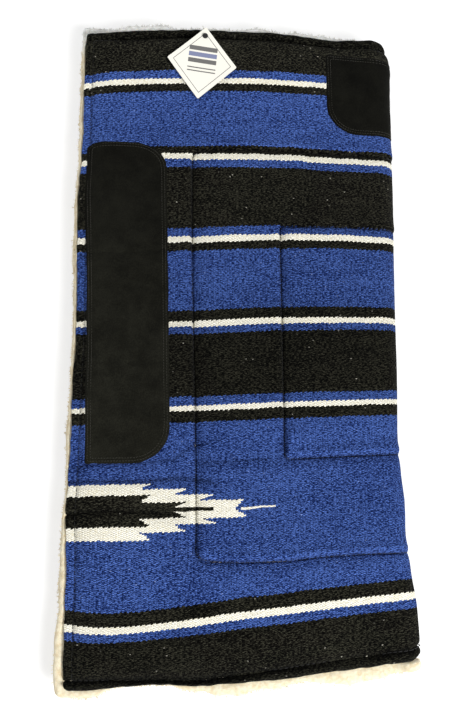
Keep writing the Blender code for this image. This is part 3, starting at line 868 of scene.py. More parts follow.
def woven_material(settings):
    """Thick weft-faced plain weave: slanted grains in staggered columns, one stripe colour each."""
    material, tree, shader = new_material("woven_wool", 0.95, 0.02, 0.4, 0.05)
    place = add_node(tree, "UVMap", uv_map="cloth")
    u, v, _ = parts_of(place)
    u_soft = u + (noise(place, 60) - 0.5) * 0.0035
    v_soft = v + (noise(place, 110, stretch=(0.6, 1, 1)) - 0.5) * 0.0034

    column_place = u_soft / settings.grain_width
    column = column_place.floor()
    odd = (column + 1000) % 2
    in_column = column_place - column - 0.5
    bow = in_column * settings.grain_slant + in_column * in_column * settings.grain_bow
    row_place = v_soft / settings.grain_height + odd * 0.5 + bow
    row = row_place.floor()
    in_row = row_place - row - 0.5
    grain_v = (row + 0.5 + odd * -0.5) * settings.grain_height
    grain_u = (column + 0.5) * settings.grain_width
    own, second = random_at(column, row), random_at(column, row, 7.3)

    _, stripe_black, stripe_cream = parts_of(stripe_of(grain_v), "SeparateColor")
    off_middle = grain_v - ARROW_MIDDLE
    side_u = grain_u.smaller(SPAN - grain_u)
    straight_u = side_u - off_middle * 0.17 * (side_u > 0.140)
    in_cream = within_arrow(abs(off_middle), straight_u, ARROW_CREAM)
    in_black = within_arrow(abs(off_middle), straight_u, ARROW_BLACK)
    off_line = abs(v_soft - (side_u * 0.006 + (ARROW_MIDDLE - 0.0012)))
    thin = off_line < eased(side_u, 0.150, 0.2395, 0.0022, 0.0008, "LINEAR")
    in_cream = in_cream.larger(thin * ((side_u < TIP_CREAM[1]) * (side_u > TIP_CREAM[0])))
    in_black = in_black.larger(thin * (side_u < TIP_BLACK_END))
    is_cream = stripe_cream.larger(in_cream) * (1.0 - in_black)
    is_black = (stripe_black * (1.0 - in_cream)).larger(in_black)

    fibre = noise(place, 760, 2, 0.6, stretch=(0.42, 1, 1)) - 0.5
    patch = noise(place, 9, 3, 0.55) - 0.5
    streak = noise(place, 90, 2, 0.5, stretch=(0.2, 1, 1)) - 0.5
    tone = (own - 0.5) * 0.45 + 0.5 + fibre * 3.6 + streak * 0.5 + patch * 0.5
    width_share = in_column + (second - 0.5) * 0.3
    spot = width_share * width_share + in_row * in_row
    fleck = eased(second, 0.9955, 1.002, kind="LINEAR") * (spot < 0.10)

    blue = blended(eased(tone, 0.0, 1.0), settings.blue_deep, settings.blue_light)
    blue = blended(fleck * 0.6, blue, settings.blue_fleck)
    black = blended(eased(tone, 0.2, 1.15), settings.black_deep, settings.black_heather)
    black = blended(fleck, black, settings.black_fleck)
    cream = blended(eased(tone, -0.2, 0.8), settings.cream_warm, settings.cream_light)
    colour = blended(is_cream, blended(is_black, blue, black), cream)

    dome = (1.0 - in_column * in_column * 1.3) * (1.0 - in_row * in_row * 3.8)
    shade = eased(dome + fibre * 1.3, 0.05, 0.95, 0.20, 1.42)
    cream_shade = eased(dome + fibre * 0.5, 0.0, 0.6, 0.62, 1.04)
    shade = add_node(tree, "Mix", {0: is_cream, 2: shade, 3: cream_shade})
    # Painted shade and light from the cover's points, weaker on the cream; the arrow's black is made 35%
    # lighter
    kept = add_node(tree, "Attribute", outlet="Fac", attribute_name="tone")
    kept = kept * (1.0 - is_cream) + (kept * 0.45 + 0.55) * is_cream
    colour = scaled(scaled(colour, shade), kept * (in_black * 0.35 + 1.0))
    lift = dome + (fibre + 0.5) * 0.5 + own * 0.35
    return coat(material, shader, colour, lift, settings.grain_relief)


def felt_material(settings):
    material, tree, shader = new_material("pressed_felt", 0.96, 0.2)
    place = object_place(tree)
    mixed = noise(place, 420, 4, 0.65, stretch=(1, 0.35, 1)) * 0.6 + noise(place, 45, 3, 0.6) * 0.4
    colour = blended(eased(mixed, 0.3, 0.7), settings.felt_dark, settings.felt_light)
    return coat(material, shader, colour, mixed, 0.0008)


def fleece_material(settings):
    """Cream synthetic fleece: warm in the gaps between its curls, whiter at their tips and in front."""
    material, tree, shader = new_material("curly_fleece", 0.98, 0.3, 0.6, 0.1)
    place = object_place(tree)
    curl = add_node(tree, "TexVoronoi", {"Vector": place, "Scale": 230}, "Distance", feature="SMOOTH_F1")
    mixed = (1.0 - curl) * 0.5 + noise(place, 130, 3, 0.6) * 0.5 + (noise(place, 900, 4, 0.7) - 0.5) * 0.5
    fresh = eased(parts_of(place)[1] + noise(place, 14) * 0.04, 0.37, 0.42)
    warm = blended(fresh, settings.fleece_warm, settings.fleece_grey)
    light = blended(fresh, settings.fleece_light, settings.fleece_white)
    shader.inputs["Subsurface Weight"].default_value = 0.15
    shader.inputs["Subsurface Radius"].default_value = (0.004, 0.003, 0.002)
    shader.inputs["Subsurface Scale"].default_value = 0.5
    return coat(material, shader, blended(eased(mixed, 0.30, 0.70), warm, light), mixed, 0.0016)


def suede_material(settings):
    """Black suede: very matt, mottled, with a short nap and rubbed light spots; painted lighter to the
    rear.
    """
    material, tree, shader = new_material("black_suede", 0.95, 0.02, 0.5, 0.06)
    place = object_place(tree)
    mixed = noise(place, 750, 4, 0.7) * 0.55 + noise(place, 48, 4, 0.6) * 0.25
    mixed = mixed + noise(place, 11, 3, 0.6, stretch=(1, 0.5, 1)) * 0.25
    colour = blended(eased(mixed, 0.40, 0.68), settings.suede_dark, settings.suede_light)
    # Painted light: the suede's colour is made lighter towards the rear and darker towards the front
    wear_and_painted_light = eased(parts_of(place)[1], -0.12, 0.30, settings.painted_light_rear, settings.painted_light_front)
    return coat(material, shader, scaled(colour, wear_and_painted_light), mixed, 0.0005)


def thread_material(name, colour):
    material, tree, shader = new_material(name, 0.6, 0.2, 0.4, 0.35)
    twist = noise(object_place(tree), 1600, 2, 0.6)
    tone = blended(eased(twist, 0.3, 0.7), [0.6 * part for part in colour], [1.4 * part for part in colour])
    return coat(material, shader, tone, twist, 0.0002)


# What the card has printed on it: a frame line's inner and outer edge, and half the bars' length
CARD_FRAME = (0.0285, 0.0293)
CARD_BAR_REACH = 0.020


def card_material(settings):
    """Off-white coated card with a thin frame and three plain stripes printed on it."""
    material, tree, shader = new_material("printed_card", 0.45, specular=0.4)
    place = add_node(tree, "UVMap", uv_map="card")
    u, v, _ = parts_of(place)
    side = abs(u).larger(abs(v))
    frame_line = (side > CARD_FRAME[0]) * (side < CARD_FRAME[1])
    level = (u + v) / math.sqrt(2)
    cross = abs((v - u) / math.sqrt(2))
    bars = steps(eased(level, -0.020, 0.030, kind="LINEAR"),
                 [(0, 0.0), (0.14, 1.0), (0.17, 0.0), (0.23, 1.0), (0.26, 0.0), (0.38, 1.0), (0.50, 0.0),
                  (0.55, 0.5), (0.67, 0.0), (0.72, 1.0), (0.84, 0.0)])
    bars = bars * (cross < CARD_BAR_REACH)
    dark = frame_line.larger(bars > 0.75)
    tinted = (bars > 0.25) * (bars < 0.75)
    fibre = noise(place, 500, 3, 0.6)
    paper = blended(fibre, settings.card_warm, settings.card_light)
    colour = blended(tinted * 0.8, blended(dark * 0.85, paper, settings.card_ink), settings.card_tint)
    return coat(material, shader, colour, fibre, 0.00005)


def plastic_material():
    material, tree, shader = new_material("moulded_plastic", 0.35, specular=0.5)
    grain = noise(object_place(tree), 900)
    colour = blended(grain, (0.012, 0.012, 0.013), (0.024, 0.024, 0.025))
    return coat(material, shader, colour, grain, 0.00004)


def floor_material(settings):
    material, tree, shader = new_material("pale_floor", 0.9, specular=0.1)
    light = tuple(settings.floor_colour)
    colour = blended(noise(object_place(tree), 3), [0.99 * part for part in light], light)
    tree.links.new(colour.socket, shader.inputs["Base Color"])
    shader.inputs["Emission Color"].default_value = (1, 1, 1, 1)
    shader.inputs["Emission Strength"].default_value = settings.floor_glow
    return material


# Settings that a user would change

def length(name, description, default):
    return bpy.props.FloatProperty(
        name=name, description=description, default=default, min=0.0, precision=5, unit="LENGTH"
    )


def plain(name, description, default):
    return bpy.props.FloatProperty(name=name, description=description, default=default)


def paint(name, description, default):
    return bpy.props.FloatVectorProperty(
        name=name, description=description, default=default, size=3, min=0.0, max=1.0, subtype="COLOR"
    )


class QuiltSettings(bpy.types.PropertyGroup):
    box_corner: length("Box corner", "Round corner of each quilted box", BOX_CORNER)
    valley_depth: length("Valley depth", "How far the quilting draws the cover down", 0.0048)
    valley_width: length("Valley width", "How wide the quilted valley is on each side", 0.0052)
    crease_depth: length("Crease depth", "Depth of the sharp crease in the valley", 0.0022)
    lip_height: length("Lip height", "How far the cover stands up in front of a rear seam", 0.0024)
    stitch_pitch: length("Stitch pitch", "Length of one stitch and its gap", 0.0062)
    thread: length("Thread", "Thickness of the quilting thread", 0.0009)
    thread_colour: paint("Thread colour", "Colour of the quilting thread", (0.005, 0.005, 0.005))


class ClothSettings(bpy.types.PropertyGroup):
    grain_width: length("Grain width", "Width of one column of the weave", 0.0029)
    grain_height: length("Grain height", "Height of one grain of the weave", 0.0018)
    grain_slant: plain("Grain slant", "How far each grain slants, in grains", 0.25)
    grain_bow: plain("Grain bow", "How far the middle of each grain bows forwards, in grains", 1.2)
    grain_relief: length("Grain relief", "Depth of the weave", 0.0009)
    blue_deep: paint("Deep blue", "Blue yarn in shade", (0.0040, 0.0130, 0.080))
    blue_light: paint("Light blue", "Blue yarn in light", (0.062, 0.122, 0.385))
    blue_fleck: paint("Blue fleck", "Pale flecks in the blue", (0.34, 0.44, 0.78))
    black_deep: paint("Black", "Black yarn in shade", (0.0008, 0.0008, 0.0006))
    black_heather: paint("Black heather", "Black yarn in light", (0.031, 0.030, 0.0208))
    black_fleck: paint("Black fleck", "Pale flecks in the black", (0.42, 0.40, 0.34))
    cream_warm: paint("Warm cream", "Cream yarn in shade", (0.84, 0.785, 0.60))
    cream_light: paint("Light cream", "Cream yarn in light", (0.98, 0.955, 0.84))


class LiningSettings(bpy.types.PropertyGroup):
    locks_per_metre: bpy.props.IntProperty(
        name="Locks", description="Loose locks along each metre of edge", default=1300
    )
    curl_size: length("Curl size", "Distance between the fleece's clumps", 0.0065)
    lock_length: length("Lock length", "Length of the loose locks at the edges", 0.0040)
    fleece_light: paint("Fleece light", "Tips of the fleece", (0.84, 0.765, 0.575))
    fleece_warm: paint("Fleece warm", "Depth of the fleece", (0.70, 0.58, 0.37))
    fleece_white: paint("Fleece white", "Tips of the fleece at the front", (0.94, 0.94, 0.91))
    fleece_grey: paint("Fleece grey", "Depth of the fleece at the front", (0.66, 0.66, 0.62))
    felt_dark: paint("Felt dark", "Dark hairs of the felt", (0.16, 0.155, 0.145))
    felt_light: paint("Felt light", "Light hairs of the felt", (0.36, 0.35, 0.33))


class LeatherSettings(bpy.types.PropertyGroup):
    thickness: length("Thickness", "Thickness of the wear leathers", 0.0012)
    proud: length("Proud", "How far they stand above the cover", 0.0010)
    stitch_pitch: length("Stitch pitch", "Length of one stitch and its gap", 0.0034)
    thread: length("Thread", "Thickness of the leather thread", 0.00055)
    suede_dark: paint("Suede dark", "Suede in shade", (0.0030, 0.0030, 0.0020))
    suede_light: paint("Suede light", "Rubbed suede", (0.0132, 0.0132, 0.0094))
    # Painted light on the suede: lighter towards the rear, darker towards the front
    painted_light_rear: plain("Worn rear", "How much lighter the suede is towards the rear", 1.35)
    painted_light_front: plain("Worn front", "How much of its lightness the suede keeps at the front", 0.62)
    thread_colour: paint("Thread colour", "Colour of the leather thread", (0.024, 0.022, 0.015))


class TagSettings(bpy.types.PropertyGroup):
    side: length("Side", "Side of the square tag", 0.070)
    curl: length("Curl", "How far the card's corners lift", 0.0016)
    card_light: paint("Card", "Colour of the card", (0.97, 0.95, 0.87))
    card_warm: paint("Card warm", "Colour of its fibres", (0.94, 0.91, 0.81))
    card_ink: paint("Ink", "Colour of the dark lines", (0.03, 0.03, 0.04))
    card_tint: paint("Tint", "Colour of the middle stripe", (0.05, 0.09, 0.30))


class StageSettings(bpy.types.PropertyGroup):
    floor_colour: paint("Floor", "Colour of the floor", (0.50, 0.50, 0.497))
    floor_glow: plain("Floor glow", "Light of the floor itself", 0.60)
    lens: plain("Lens", "Camera lens in millimetres", 42.62)
    key_power: plain("Key power", "Power of the main lamp", 80.0)
    fill_power: plain("Fill power", "Power of the fill lamp", 21.0)
    sky: plain("Sky", "Strength of the surrounding light", 0.34)


# The pieces

class PAD_OT_relax_cover(bpy.types.Operator):
    """Runs the cloth simulation that swells the cover between its seams."""

    bl_idname = "pad.relax_cover"
    bl_label = "Relax Cover"

    def execute(self, context):
        relax_quilt()
        return {"FINISHED"}


class PAD_OT_woven_cover(bpy.types.Operator):
    """Adds the striped woven cover in four pieces."""

    bl_idname = "pad.woven_cover"
    bl_label = "Woven Cover"

    def execute(self, context):
        quilt = context.scene.pad_quilt
        material = woven_material(context.scene.pad_cloth)
        rear_start, seams = PAD_LENGTH - HEM_ROWS_END, (*OUTER_BOX[2:], *INNER_BOX[2:])
        back = joined_lines(spaced(0, HEM_ROWS_END, 0.001), spaced(HEM_ROWS_END, rear_start, 0.0027),
                            spaced(rear_start, PAD_LENGTH, 0.001),
                            *(spaced(*rows) for rows in CREASED_ROWS),
                            *(beside_seam(row) for row in seams))
        for zone in ZONES:
            across = zone_lines(zone, 0.0, 0.0024, 0.0016, 0.005)
            if not zone.first:
                across = joined_lines(across, spaced(OUTER_BOX[0] - 0.003, OUTER_BOX[0] + 0.010, 0.0008),
                                      beside_seam(INNER_BOX[0]), spaced(0.004, 0.012, 0.0012))
            u, v = grid(across, back)
            top = cover_top(u, v, quilt) - under_leather(u, v)
            low = np.minimum(top - 0.0014, COVER_LEVEL + loft(u, v, quilt))
            plan_u, plan_v = round_corners(u, v, (0, SPAN, 0, PAD_LENGTH), (COVER_CORNER,) * 4)
            from_side, from_end = side_distance(u), np.minimum(v, PAD_LENGTH - v)
            wear_and_painted_light = WORN_EDGE * (1 - np.clip(np.minimum(from_side, from_end) / 0.0022, 0, 1)) ** 2
            fray = FRAY * cloudy(u, v, 0.011, 31) * np.exp(-from_side / 0.004)
            plan_u = plan_u + np.where(u < SPAN / 2, fray, -fray)
            plan_v = plan_v + FRAY * cloudy(u, v, 0.009, 32) * np.exp(-from_end / 0.004) - drawn_in(u, v)
            mesh = sheet_mesh(f"{zone.name}_cover_cloth", across, back,
                              set_out(plan_u, plan_v, top - wear_and_painted_light), set_out(plan_u, plan_v, low), 3, 4)
            # Painted shade and light, kept on the cover's points for its material to darken and lighten its
            # colour
            painted_shades = np.ones(len(mesh.vertices))
            painted_shades[: u.size] = painted_cloth_shade(u, v, quilt).ravel()
            mesh.attributes.new("tone", "FLOAT", "POINT").data.foreach_set("value", painted_shades)
            piece = layer_piece(zone, "woven_cover", mesh, material, "cover")
        return {"FINISHED"}


class PAD_OT_felt_core(bpy.types.Operator):
    """Adds the felt between the cover and the fleece in four pieces."""

    bl_idname = "pad.felt_core"
    bl_label = "Felt Core"

    def execute(self, context):
        quilt = context.scene.pad_quilt
        material = felt_material(context.scene.pad_lining)
        start, front = SEAM_MARGIN + 0.2 * EDGE_ROLL, HEM_WIDTH + 0.2 * EDGE_ROLL
        back = spaced(front, PAD_LENGTH - front, 0.006)
        for zone in ZONES:
            across = zone_lines(zone, start, 0.006, 0.002, 0.008)
            u, v = grid(across, back)
            height = loft(u, v, quilt) - 0.0009 + 0.0002 * cloudy(u, v, 0.013, 41)
            top = set_out(u, v, FELT_LEVEL + np.maximum(height, 0.0012))
            mesh = sheet_mesh(f"{zone.name}_felt", across, back, top, set_out(u, v, FELT_LEVEL))
            piece = layer_piece(zone, "felt_core", mesh, material, "core")
        return {"FINISHED"}


def shown(table, place):
    """How far the fleece shows past the cover, read from one of the tables above."""
    lines, values = table
    place = np.asarray(place, float)
    return eased_curve(place.ravel(), lines, values).reshape(place.shape) / 1000


def fleece_plan(u, v):
    """Where the fleece's points lie in plan: its outline strays in and out past the cover."""
    near = u < SPAN / 2
    out_u = np.maximum(-side_distance(u), 0) / FLEECE_MARGIN
    out_front, out_rear = np.maximum(-v, 0) / FLEECE_MARGIN, np.maximum(v - PAD_LENGTH, 0) / FLEECE_MARGIN
    from_side = np.clip(side_distance(u), 0, SPAN / 2)
    wander = 0.0012 * cloudy(u, v, 0.019, 55) + 0.0006 * cloudy(u, v, 0.007, 56)
    off_side = 0.005 + 0.0025 * cloudy(v, v * 0, 0.06, 57)
    side = np.where(near, shown(SIDE_FLEECE, v), off_side) + wander
    front = np.where(near, shown(FRONT_FLEECE, from_side), 0.004) + wander
    rear = np.where(near, shown(REAR_FLEECE, from_side), 0.004) + wander
    plan_u = np.where(out_u > 0, -out_u * np.maximum(side, 0.0005), side_distance(u))
    plan_u = np.where(near, plan_u, SPAN - plan_u)
    plan_v = np.where(out_front > 0, -out_front * np.maximum(front, 0.0005), v)
    plan_v = np.where(out_rear > 0, PAD_LENGTH + out_rear * np.maximum(rear, 0.0005), plan_v)
    return plan_u, plan_v - 0.5 * drawn_in(u, v)


def fleece_faces(u, v, lining):
    """Heights of the fleece's inner and outer faces."""
    out = np.maximum(np.maximum(-side_distance(u), -v), v - PAD_LENGTH)
    edge = np.clip((FLEECE_MARGIN - out) / 0.006, 0, 1)
    round_off = 1 - np.sqrt(np.maximum(0, 1 - (1 - edge) ** 2))
    inner_curl = curls(u, v, lining.curl_size, 51)
    outer_curl = curls(u + 0.3, v, lining.curl_size * 0.9, 52)
    fold_line = np.abs(u - SPAN / 2) - (SPAN / 2 - FLAT)
    teardrop = CREASE_RADIUS * (1 - smooth(0.0, 0.016, fold_line))
    inner = 0.00025 + 0.0020 * (1 - inner_curl) + 0.0003 * cloudy(u, v, 0.003, 53)
    inner = np.maximum(inner, 0.0002) * (1 - teardrop / CREASE_RADIUS * 0.75) + teardrop
    bare = smooth(-0.004, 0.004, out)
    outer = FLEECE_THICKNESS - 0.0004 + bare * (0.0008 + 0.0011 * (outer_curl - 0.45))
    outer = outer + bare * 0.0009 * cloudy(u, v, 0.021, 54)
    half = (outer - inner) / 2
    curl = REAR_CURL * smooth(-0.004, 0.004, v - PAD_LENGTH) * smooth(0.376, 0.404, side_distance(u))
    return inner + half * round_off * 0.9 + curl, outer - half * round_off * 0.9 + curl


class PAD_OT_fleece_lining(bpy.types.Operator):
    """Adds the curly fleece lining in four pieces."""

    bl_idname = "pad.fleece_lining"
    bl_label = "Fleece Lining"

    def execute(self, context):
        lining = context.scene.pad_lining
        material = finish_of(fleece_material, lining)
        edge, band_end = -FLEECE_MARGIN, 0.006
        band = spaced(edge, band_end, 0.0014)
        back = joined_lines(band, spaced(band_end, PAD_LENGTH - band_end, 0.0031), PAD_LENGTH - band[::-1])
        for zone in ZONES:
            across = zone_lines(zone, edge, 0.0031, 0.0012, 0.0031)
            if not zone.first:
                across = joined_lines(band, across[across > band_end])
            if zone.last == SPAN:
                across = joined_lines(across[across < SPAN - band_end], SPAN - band[::-1])
            u, v = grid(across, back)
            inner, outer = fleece_faces(u, v, lining)
            outline = (edge, SPAN - edge, edge, PAD_LENGTH - edge)
            plan_u, plan_v = fleece_plan(*round_corners(u, v, outline, (FLEECE_MARGIN,) * 4))
            mesh = sheet_mesh(f"{zone.name}_fleece_pile", across, back,
                              set_out(plan_u, plan_v, inner), set_out(plan_u, plan_v, outer))
            piece = layer_piece(zone, "fleece_lining", mesh, material, "fleece",
                                80)
        return {"FINISHED"}


def unit(vectors):
    return vectors / np.maximum(np.linalg.norm(vectors, axis=1, keepdims=True), 1e-9)


def locks_mesh(name, roots, outward, upward, lengths, seed):
    """Loose curled locks of fleece: tapered tubes of four sides that bend over."""
    chance = np.random.default_rng(seed)
    count = len(roots)
    side = unit(np.cross(outward, upward))
    twist = chance.uniform(-1, 1, count)[:, None]
    lift = chance.uniform(0.1, 1.0, count)[:, None]
    heading = unit(outward + upward * lift * 0.8 + side * twist * 0.8)
    curl = side * chance.uniform(-1, 1, count)[:, None] + upward * chance.uniform(-0.9, 0.5, count)[:, None]
    along, widths = np.array([0.0, 0.35, 0.7, 1.0])[:, None], np.array([0.9, 1.0, 0.75, 0.25])[:, None]
    lengths = lengths[:, None, None]
    middles = roots[:, None] + heading[:, None] * lengths * along
    middles = middles + curl[:, None] * lengths * 0.45 * along**2
    across = side[:, None] * lengths * 0.20 * widths
    over = np.cross(heading, side)[:, None] * lengths * 0.20 * widths
    return tubes_mesh(name, middles, across, over, 4)


class PAD_OT_fleece_locks(bpy.types.Operator):
    """Adds the loose locks that stand out along the fleece's edges."""

    bl_idname = "pad.fleece_locks"
    bl_label = "Fleece Locks"

    def execute(self, context):
        lining = context.scene.pad_lining
        material = finish_of(fleece_material, lining)
        past_edge = 0.001
        for number, zone in enumerate(ZONES):
            chance = np.random.default_rng(60 + number)
            ends = int(2 * (zone.last - zone.first) * lining.locks_per_metre)
            u = chance.uniform(zone.first, zone.last, ends)
            v = np.where(chance.random(ends) < 0.5, -past_edge, PAD_LENGTH + past_edge)
            if not zone.first or zone.last == SPAN:
                sides = int(PAD_LENGTH * lining.locks_per_metre * 0.5)
                u = np.concatenate([u, np.full(sides, SPAN + past_edge if zone.first else -past_edge)])
                v = np.concatenate([v, chance.uniform(0, PAD_LENGTH, sides)])
            reach = chance.uniform(0.6, 1.0, len(u)) * FLEECE_MARGIN
            out_u = np.where(u < 0, -1.0, np.where(u > SPAN, 1.0, 0.0))
            out_v = np.where(v < 0, -1.0, np.where(v > PAD_LENGTH, 1.0, 0.0))
            plan_u, plan_v = fleece_plan(u + out_u * reach, v + out_v * reach)
            level = chance.uniform(0.25, 0.85, len(u)) * FLEECE_THICKNESS
            roots = set_out(plan_u, plan_v, level)
            outward = unit(set_out(plan_u + out_u * 0.001, plan_v + out_v * 0.001, level) - roots)
            upward = unit(set_out(plan_u, plan_v, level + 0.001) - roots)
            lengths = lining.lock_length * chance.uniform(0.4, 1.1, len(u)) * np.where(out_v < 0, 1.0, 0.6)
            mesh = locks_mesh(f"{zone.name}_locks", roots, outward, upward, lengths, 70 + number)
            layer_piece(zone, "fleece_locks", mesh, material, None, 80)
        return {"FINISHED"}


def leather_heights(u, v, quilt, leather, inward):
    """A leather's top, which rolls down at its cut edge and dips along its stitching."""
    roll = leather.proud * (1 - np.clip(inward / 0.0014, 0, 1)) ** 2 * 1.1
    seam = LEATHER_SEAM_DEPTH * sum(ridge(inward - row, 0.0012) for row in LEATHER_ROWS)
    rumple = 0.00035 * cloudy(u, v, 0.022, 81) + 0.0002 * cloudy(u, v, 0.007, 82)
    rumple = rumple * (u <= SPAN / 2)
    return cover_top(u, v, quilt) + proud_at(u, leather) - roll - seam + rumple


def leather_mesh(name, lines, rows, places, box, scene):
    """A leather's sheet, from its grid's lines and rows and the places of its points on the cover."""
    leather = scene.pad_leather
    start, stop, front, rear = box
    u, v = grid(lines, rows)
    inward = np.minimum(np.minimum(u - start, stop - u), np.minimum(v - front, rear - v))
    top = leather_heights(*places, scene.pad_quilt, leather, inward)
    low = top - leather.thickness - LAYER_GAP
    return sheet_mesh(name, lines, rows, set_out(*places, top), set_out(*places, low), 3, 3)


class PAD_OT_side_leathers(bpy.types.Operator):
    """Adds the long wear leather on each side."""

    bl_idname = "pad.side_leathers"
    bl_label = "Side Leathers"

    def execute(self, context):
        material = finish_of(suede_material, context.scene.pad_leather)
        start, stop, front, rear = SIDE_BOX
        lines, rows = np.linspace(start, stop, 57), np.linspace(front, rear, 207)
        radii = (0.005, 0.003, SIDE_FRONT_ROUND, SIDE_ROUND)
        u, v = round_corners(*grid(lines, rows), SIDE_BOX, radii)
        inward, rearward = leather_askew(u, v)
        for name, places in (("near", (u + inward, v + rearward)), ("off", (SPAN - u, v))):
            mesh = leather_mesh(f"{name}_side_suede", lines, rows, places, SIDE_BOX, context.scene)
            piece = new_piece(f"{name}_side_wear_leather", mesh, material)
            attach(piece, f"{name}_half")
            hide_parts(f"{name}_side_leather")
        return {"FINISHED"}


class PAD_OT_withers_leather(bpy.types.Operator):
    """Adds the leather that spans the spine over the withers, in four pieces."""

    bl_idname = "pad.withers_leather"
    bl_label = "Withers Leather"

    def execute(self, context):
        material = finish_of(suede_material, context.scene.pad_leather)
        rows = spaced(WITHERS_BOX[2], WITHERS_BOX[3], 0.002)
        radii = (0.004, WITHERS_ROUND, 0.004, WITHERS_ROUND)
        for zone in ZONES:
            lines = zone_lines(zone, WITHERS_BOX[0], 0.002, 0.0016, 0.002)
            places = round_corners(*grid(lines, rows), WITHERS_BOX, radii)
            name = f"{zone.name}_withers_suede"
            mesh = leather_mesh(name, lines, rows, places, WITHERS_BOX, context.scene)
            piece = layer_piece(zone, "withers_wear_leather", mesh, material,
                                "withers_leather")
        return {"FINISHED"}


def run_lengths(path):
    """How far along a line of places each of its points lies."""
    return np.concatenate([[0], np.cumsum(np.hypot(*np.diff(path, axis=0).T))])


def places_along(path, marks):
    """Places at these distances along a line of places."""
    whole = run_lengths(path)
    marks = np.clip(marks, 0, whole[-1])
    return np.stack([np.interp(marks, whole, path[:, side]) for side in (0, 1)], 1)


def run_of_stitches(path, pitch, fill=0.8):
    """Stitches along a line of places: the ends of each one, across and back."""
    path = np.asarray(path, float)
    marks = np.arange(pitch / 2, run_lengths(path)[-1], pitch)
    half = pitch * fill / 2
    return np.hstack([places_along(path, marks - half), places_along(path, marks + half)])


def corner_path(box, corners):
    """A closed line round a box; corners are the radii at start front, start rear, stop front, rear."""
    start, stop, front, rear = box
    path = []
    for cu, cv, radius, su, sv, turn in (
        (start, front, corners[0], 1, 1, 180), (stop, front, corners[2], -1, 1, 270),
        (stop, rear, corners[3], -1, -1, 0), (start, rear, corners[1], 1, -1, 90),
    ):
        for angle in np.radians(np.arange(turn, turn + 91, 15)):
            path.append((cu + (su + math.cos(angle)) * radius, cv + (sv + math.sin(angle)) * radius))
    return np.array([*path, path[0]])


def stitches_mesh(name, stitches, height_at, radius):
    """Stitches as thin tubes that rise out of the cloth, lie along it and dive back in.

    Each stitch is the places of its two ends, across and back.
    """
    ends = stitches[:, :2], stitches[:, 2:]
    middles = []
    for share, lift in ((0.0, -0.9), (0.14, 0.5), (0.5, 0.9), (0.86, 0.5), (1.0, -0.9)):
        u, v = (ends[0] * (1 - share) + ends[1] * share).T
        middles.append(set_out(u, v, height_at(u, v) + lift * radius))
    u, v = ((ends[0] + ends[1]) / 2).T
    level = height_at(u, v)
    up = unit(set_out(u, v, level + 0.001) - set_out(u, v, level))
    side = unit(np.cross(unit(middles[-1] - middles[0]), up))
    return tubes_mesh(name, np.stack(middles, 1), side[:, None] * radius, up[:, None] * radius, 5)


def in_zone(stitches, zone):
    middle = (stitches[:, 0] + stitches[:, 2]) / 2
    return stitches[(middle >= zone.first) & (middle < zone.last)]


class PAD_OT_quilting_thread(bpy.types.Operator):
    """Adds the quilting and the seams along the hems and the open edges."""

    bl_idname = "pad.quilting_thread"
    bl_label = "Quilting Thread"

    def execute(self, context):
        quilt = context.scene.pad_quilt
        material = thread_material("dark_thread", quilt.thread_colour)
        runs = []
        for box, corner in ((OUTER_BOX, quilt.box_corner), (INNER_BOX, quilt.box_corner * INNER_ROUND)):
            path = corner_path(box, (corner,) * 4)
            runs.append(places_along(path, np.linspace(0, run_lengths(path)[-1], 260)))
        outer = runs[0]
        inward, rearward = stray(outer[:, 0], outer[:, 1])
        outer[:, 0] += np.where(outer[:, 0] < SPAN / 2, inward, -inward)
        outer[:, 1] += rearward
        across = np.linspace(SEAM_MARGIN, SPAN - SEAM_MARGIN, 200)
        rear = PAD_LENGTH - eased_curve(side_distance(across), HEM_LINES, REAR_HEM) / 1000
        for row in (np.full(len(across), FRONT_CREASE), rear - drawn_in(across, rear)):
            runs.append(np.stack([across, row], 1))
        for side in (SEAM_MARGIN, SPAN - SEAM_MARGIN):
            runs.append([(side, HEM_WIDTH), (side, PAD_LENGTH - HEM_WIDTH)])
        stitches = np.concatenate([run_of_stitches(run, quilt.stitch_pitch) for run in runs])
        for zone in ZONES:
            mesh = stitches_mesh(f"{zone.name}_stitching", in_zone(stitches, zone),
                                 lambda u, v: cover_top(u, v, quilt), quilt.thread / 2)
            layer_piece(zone, "quilting_thread", mesh, material, sharp_angle=80)
        return {"FINISHED"}


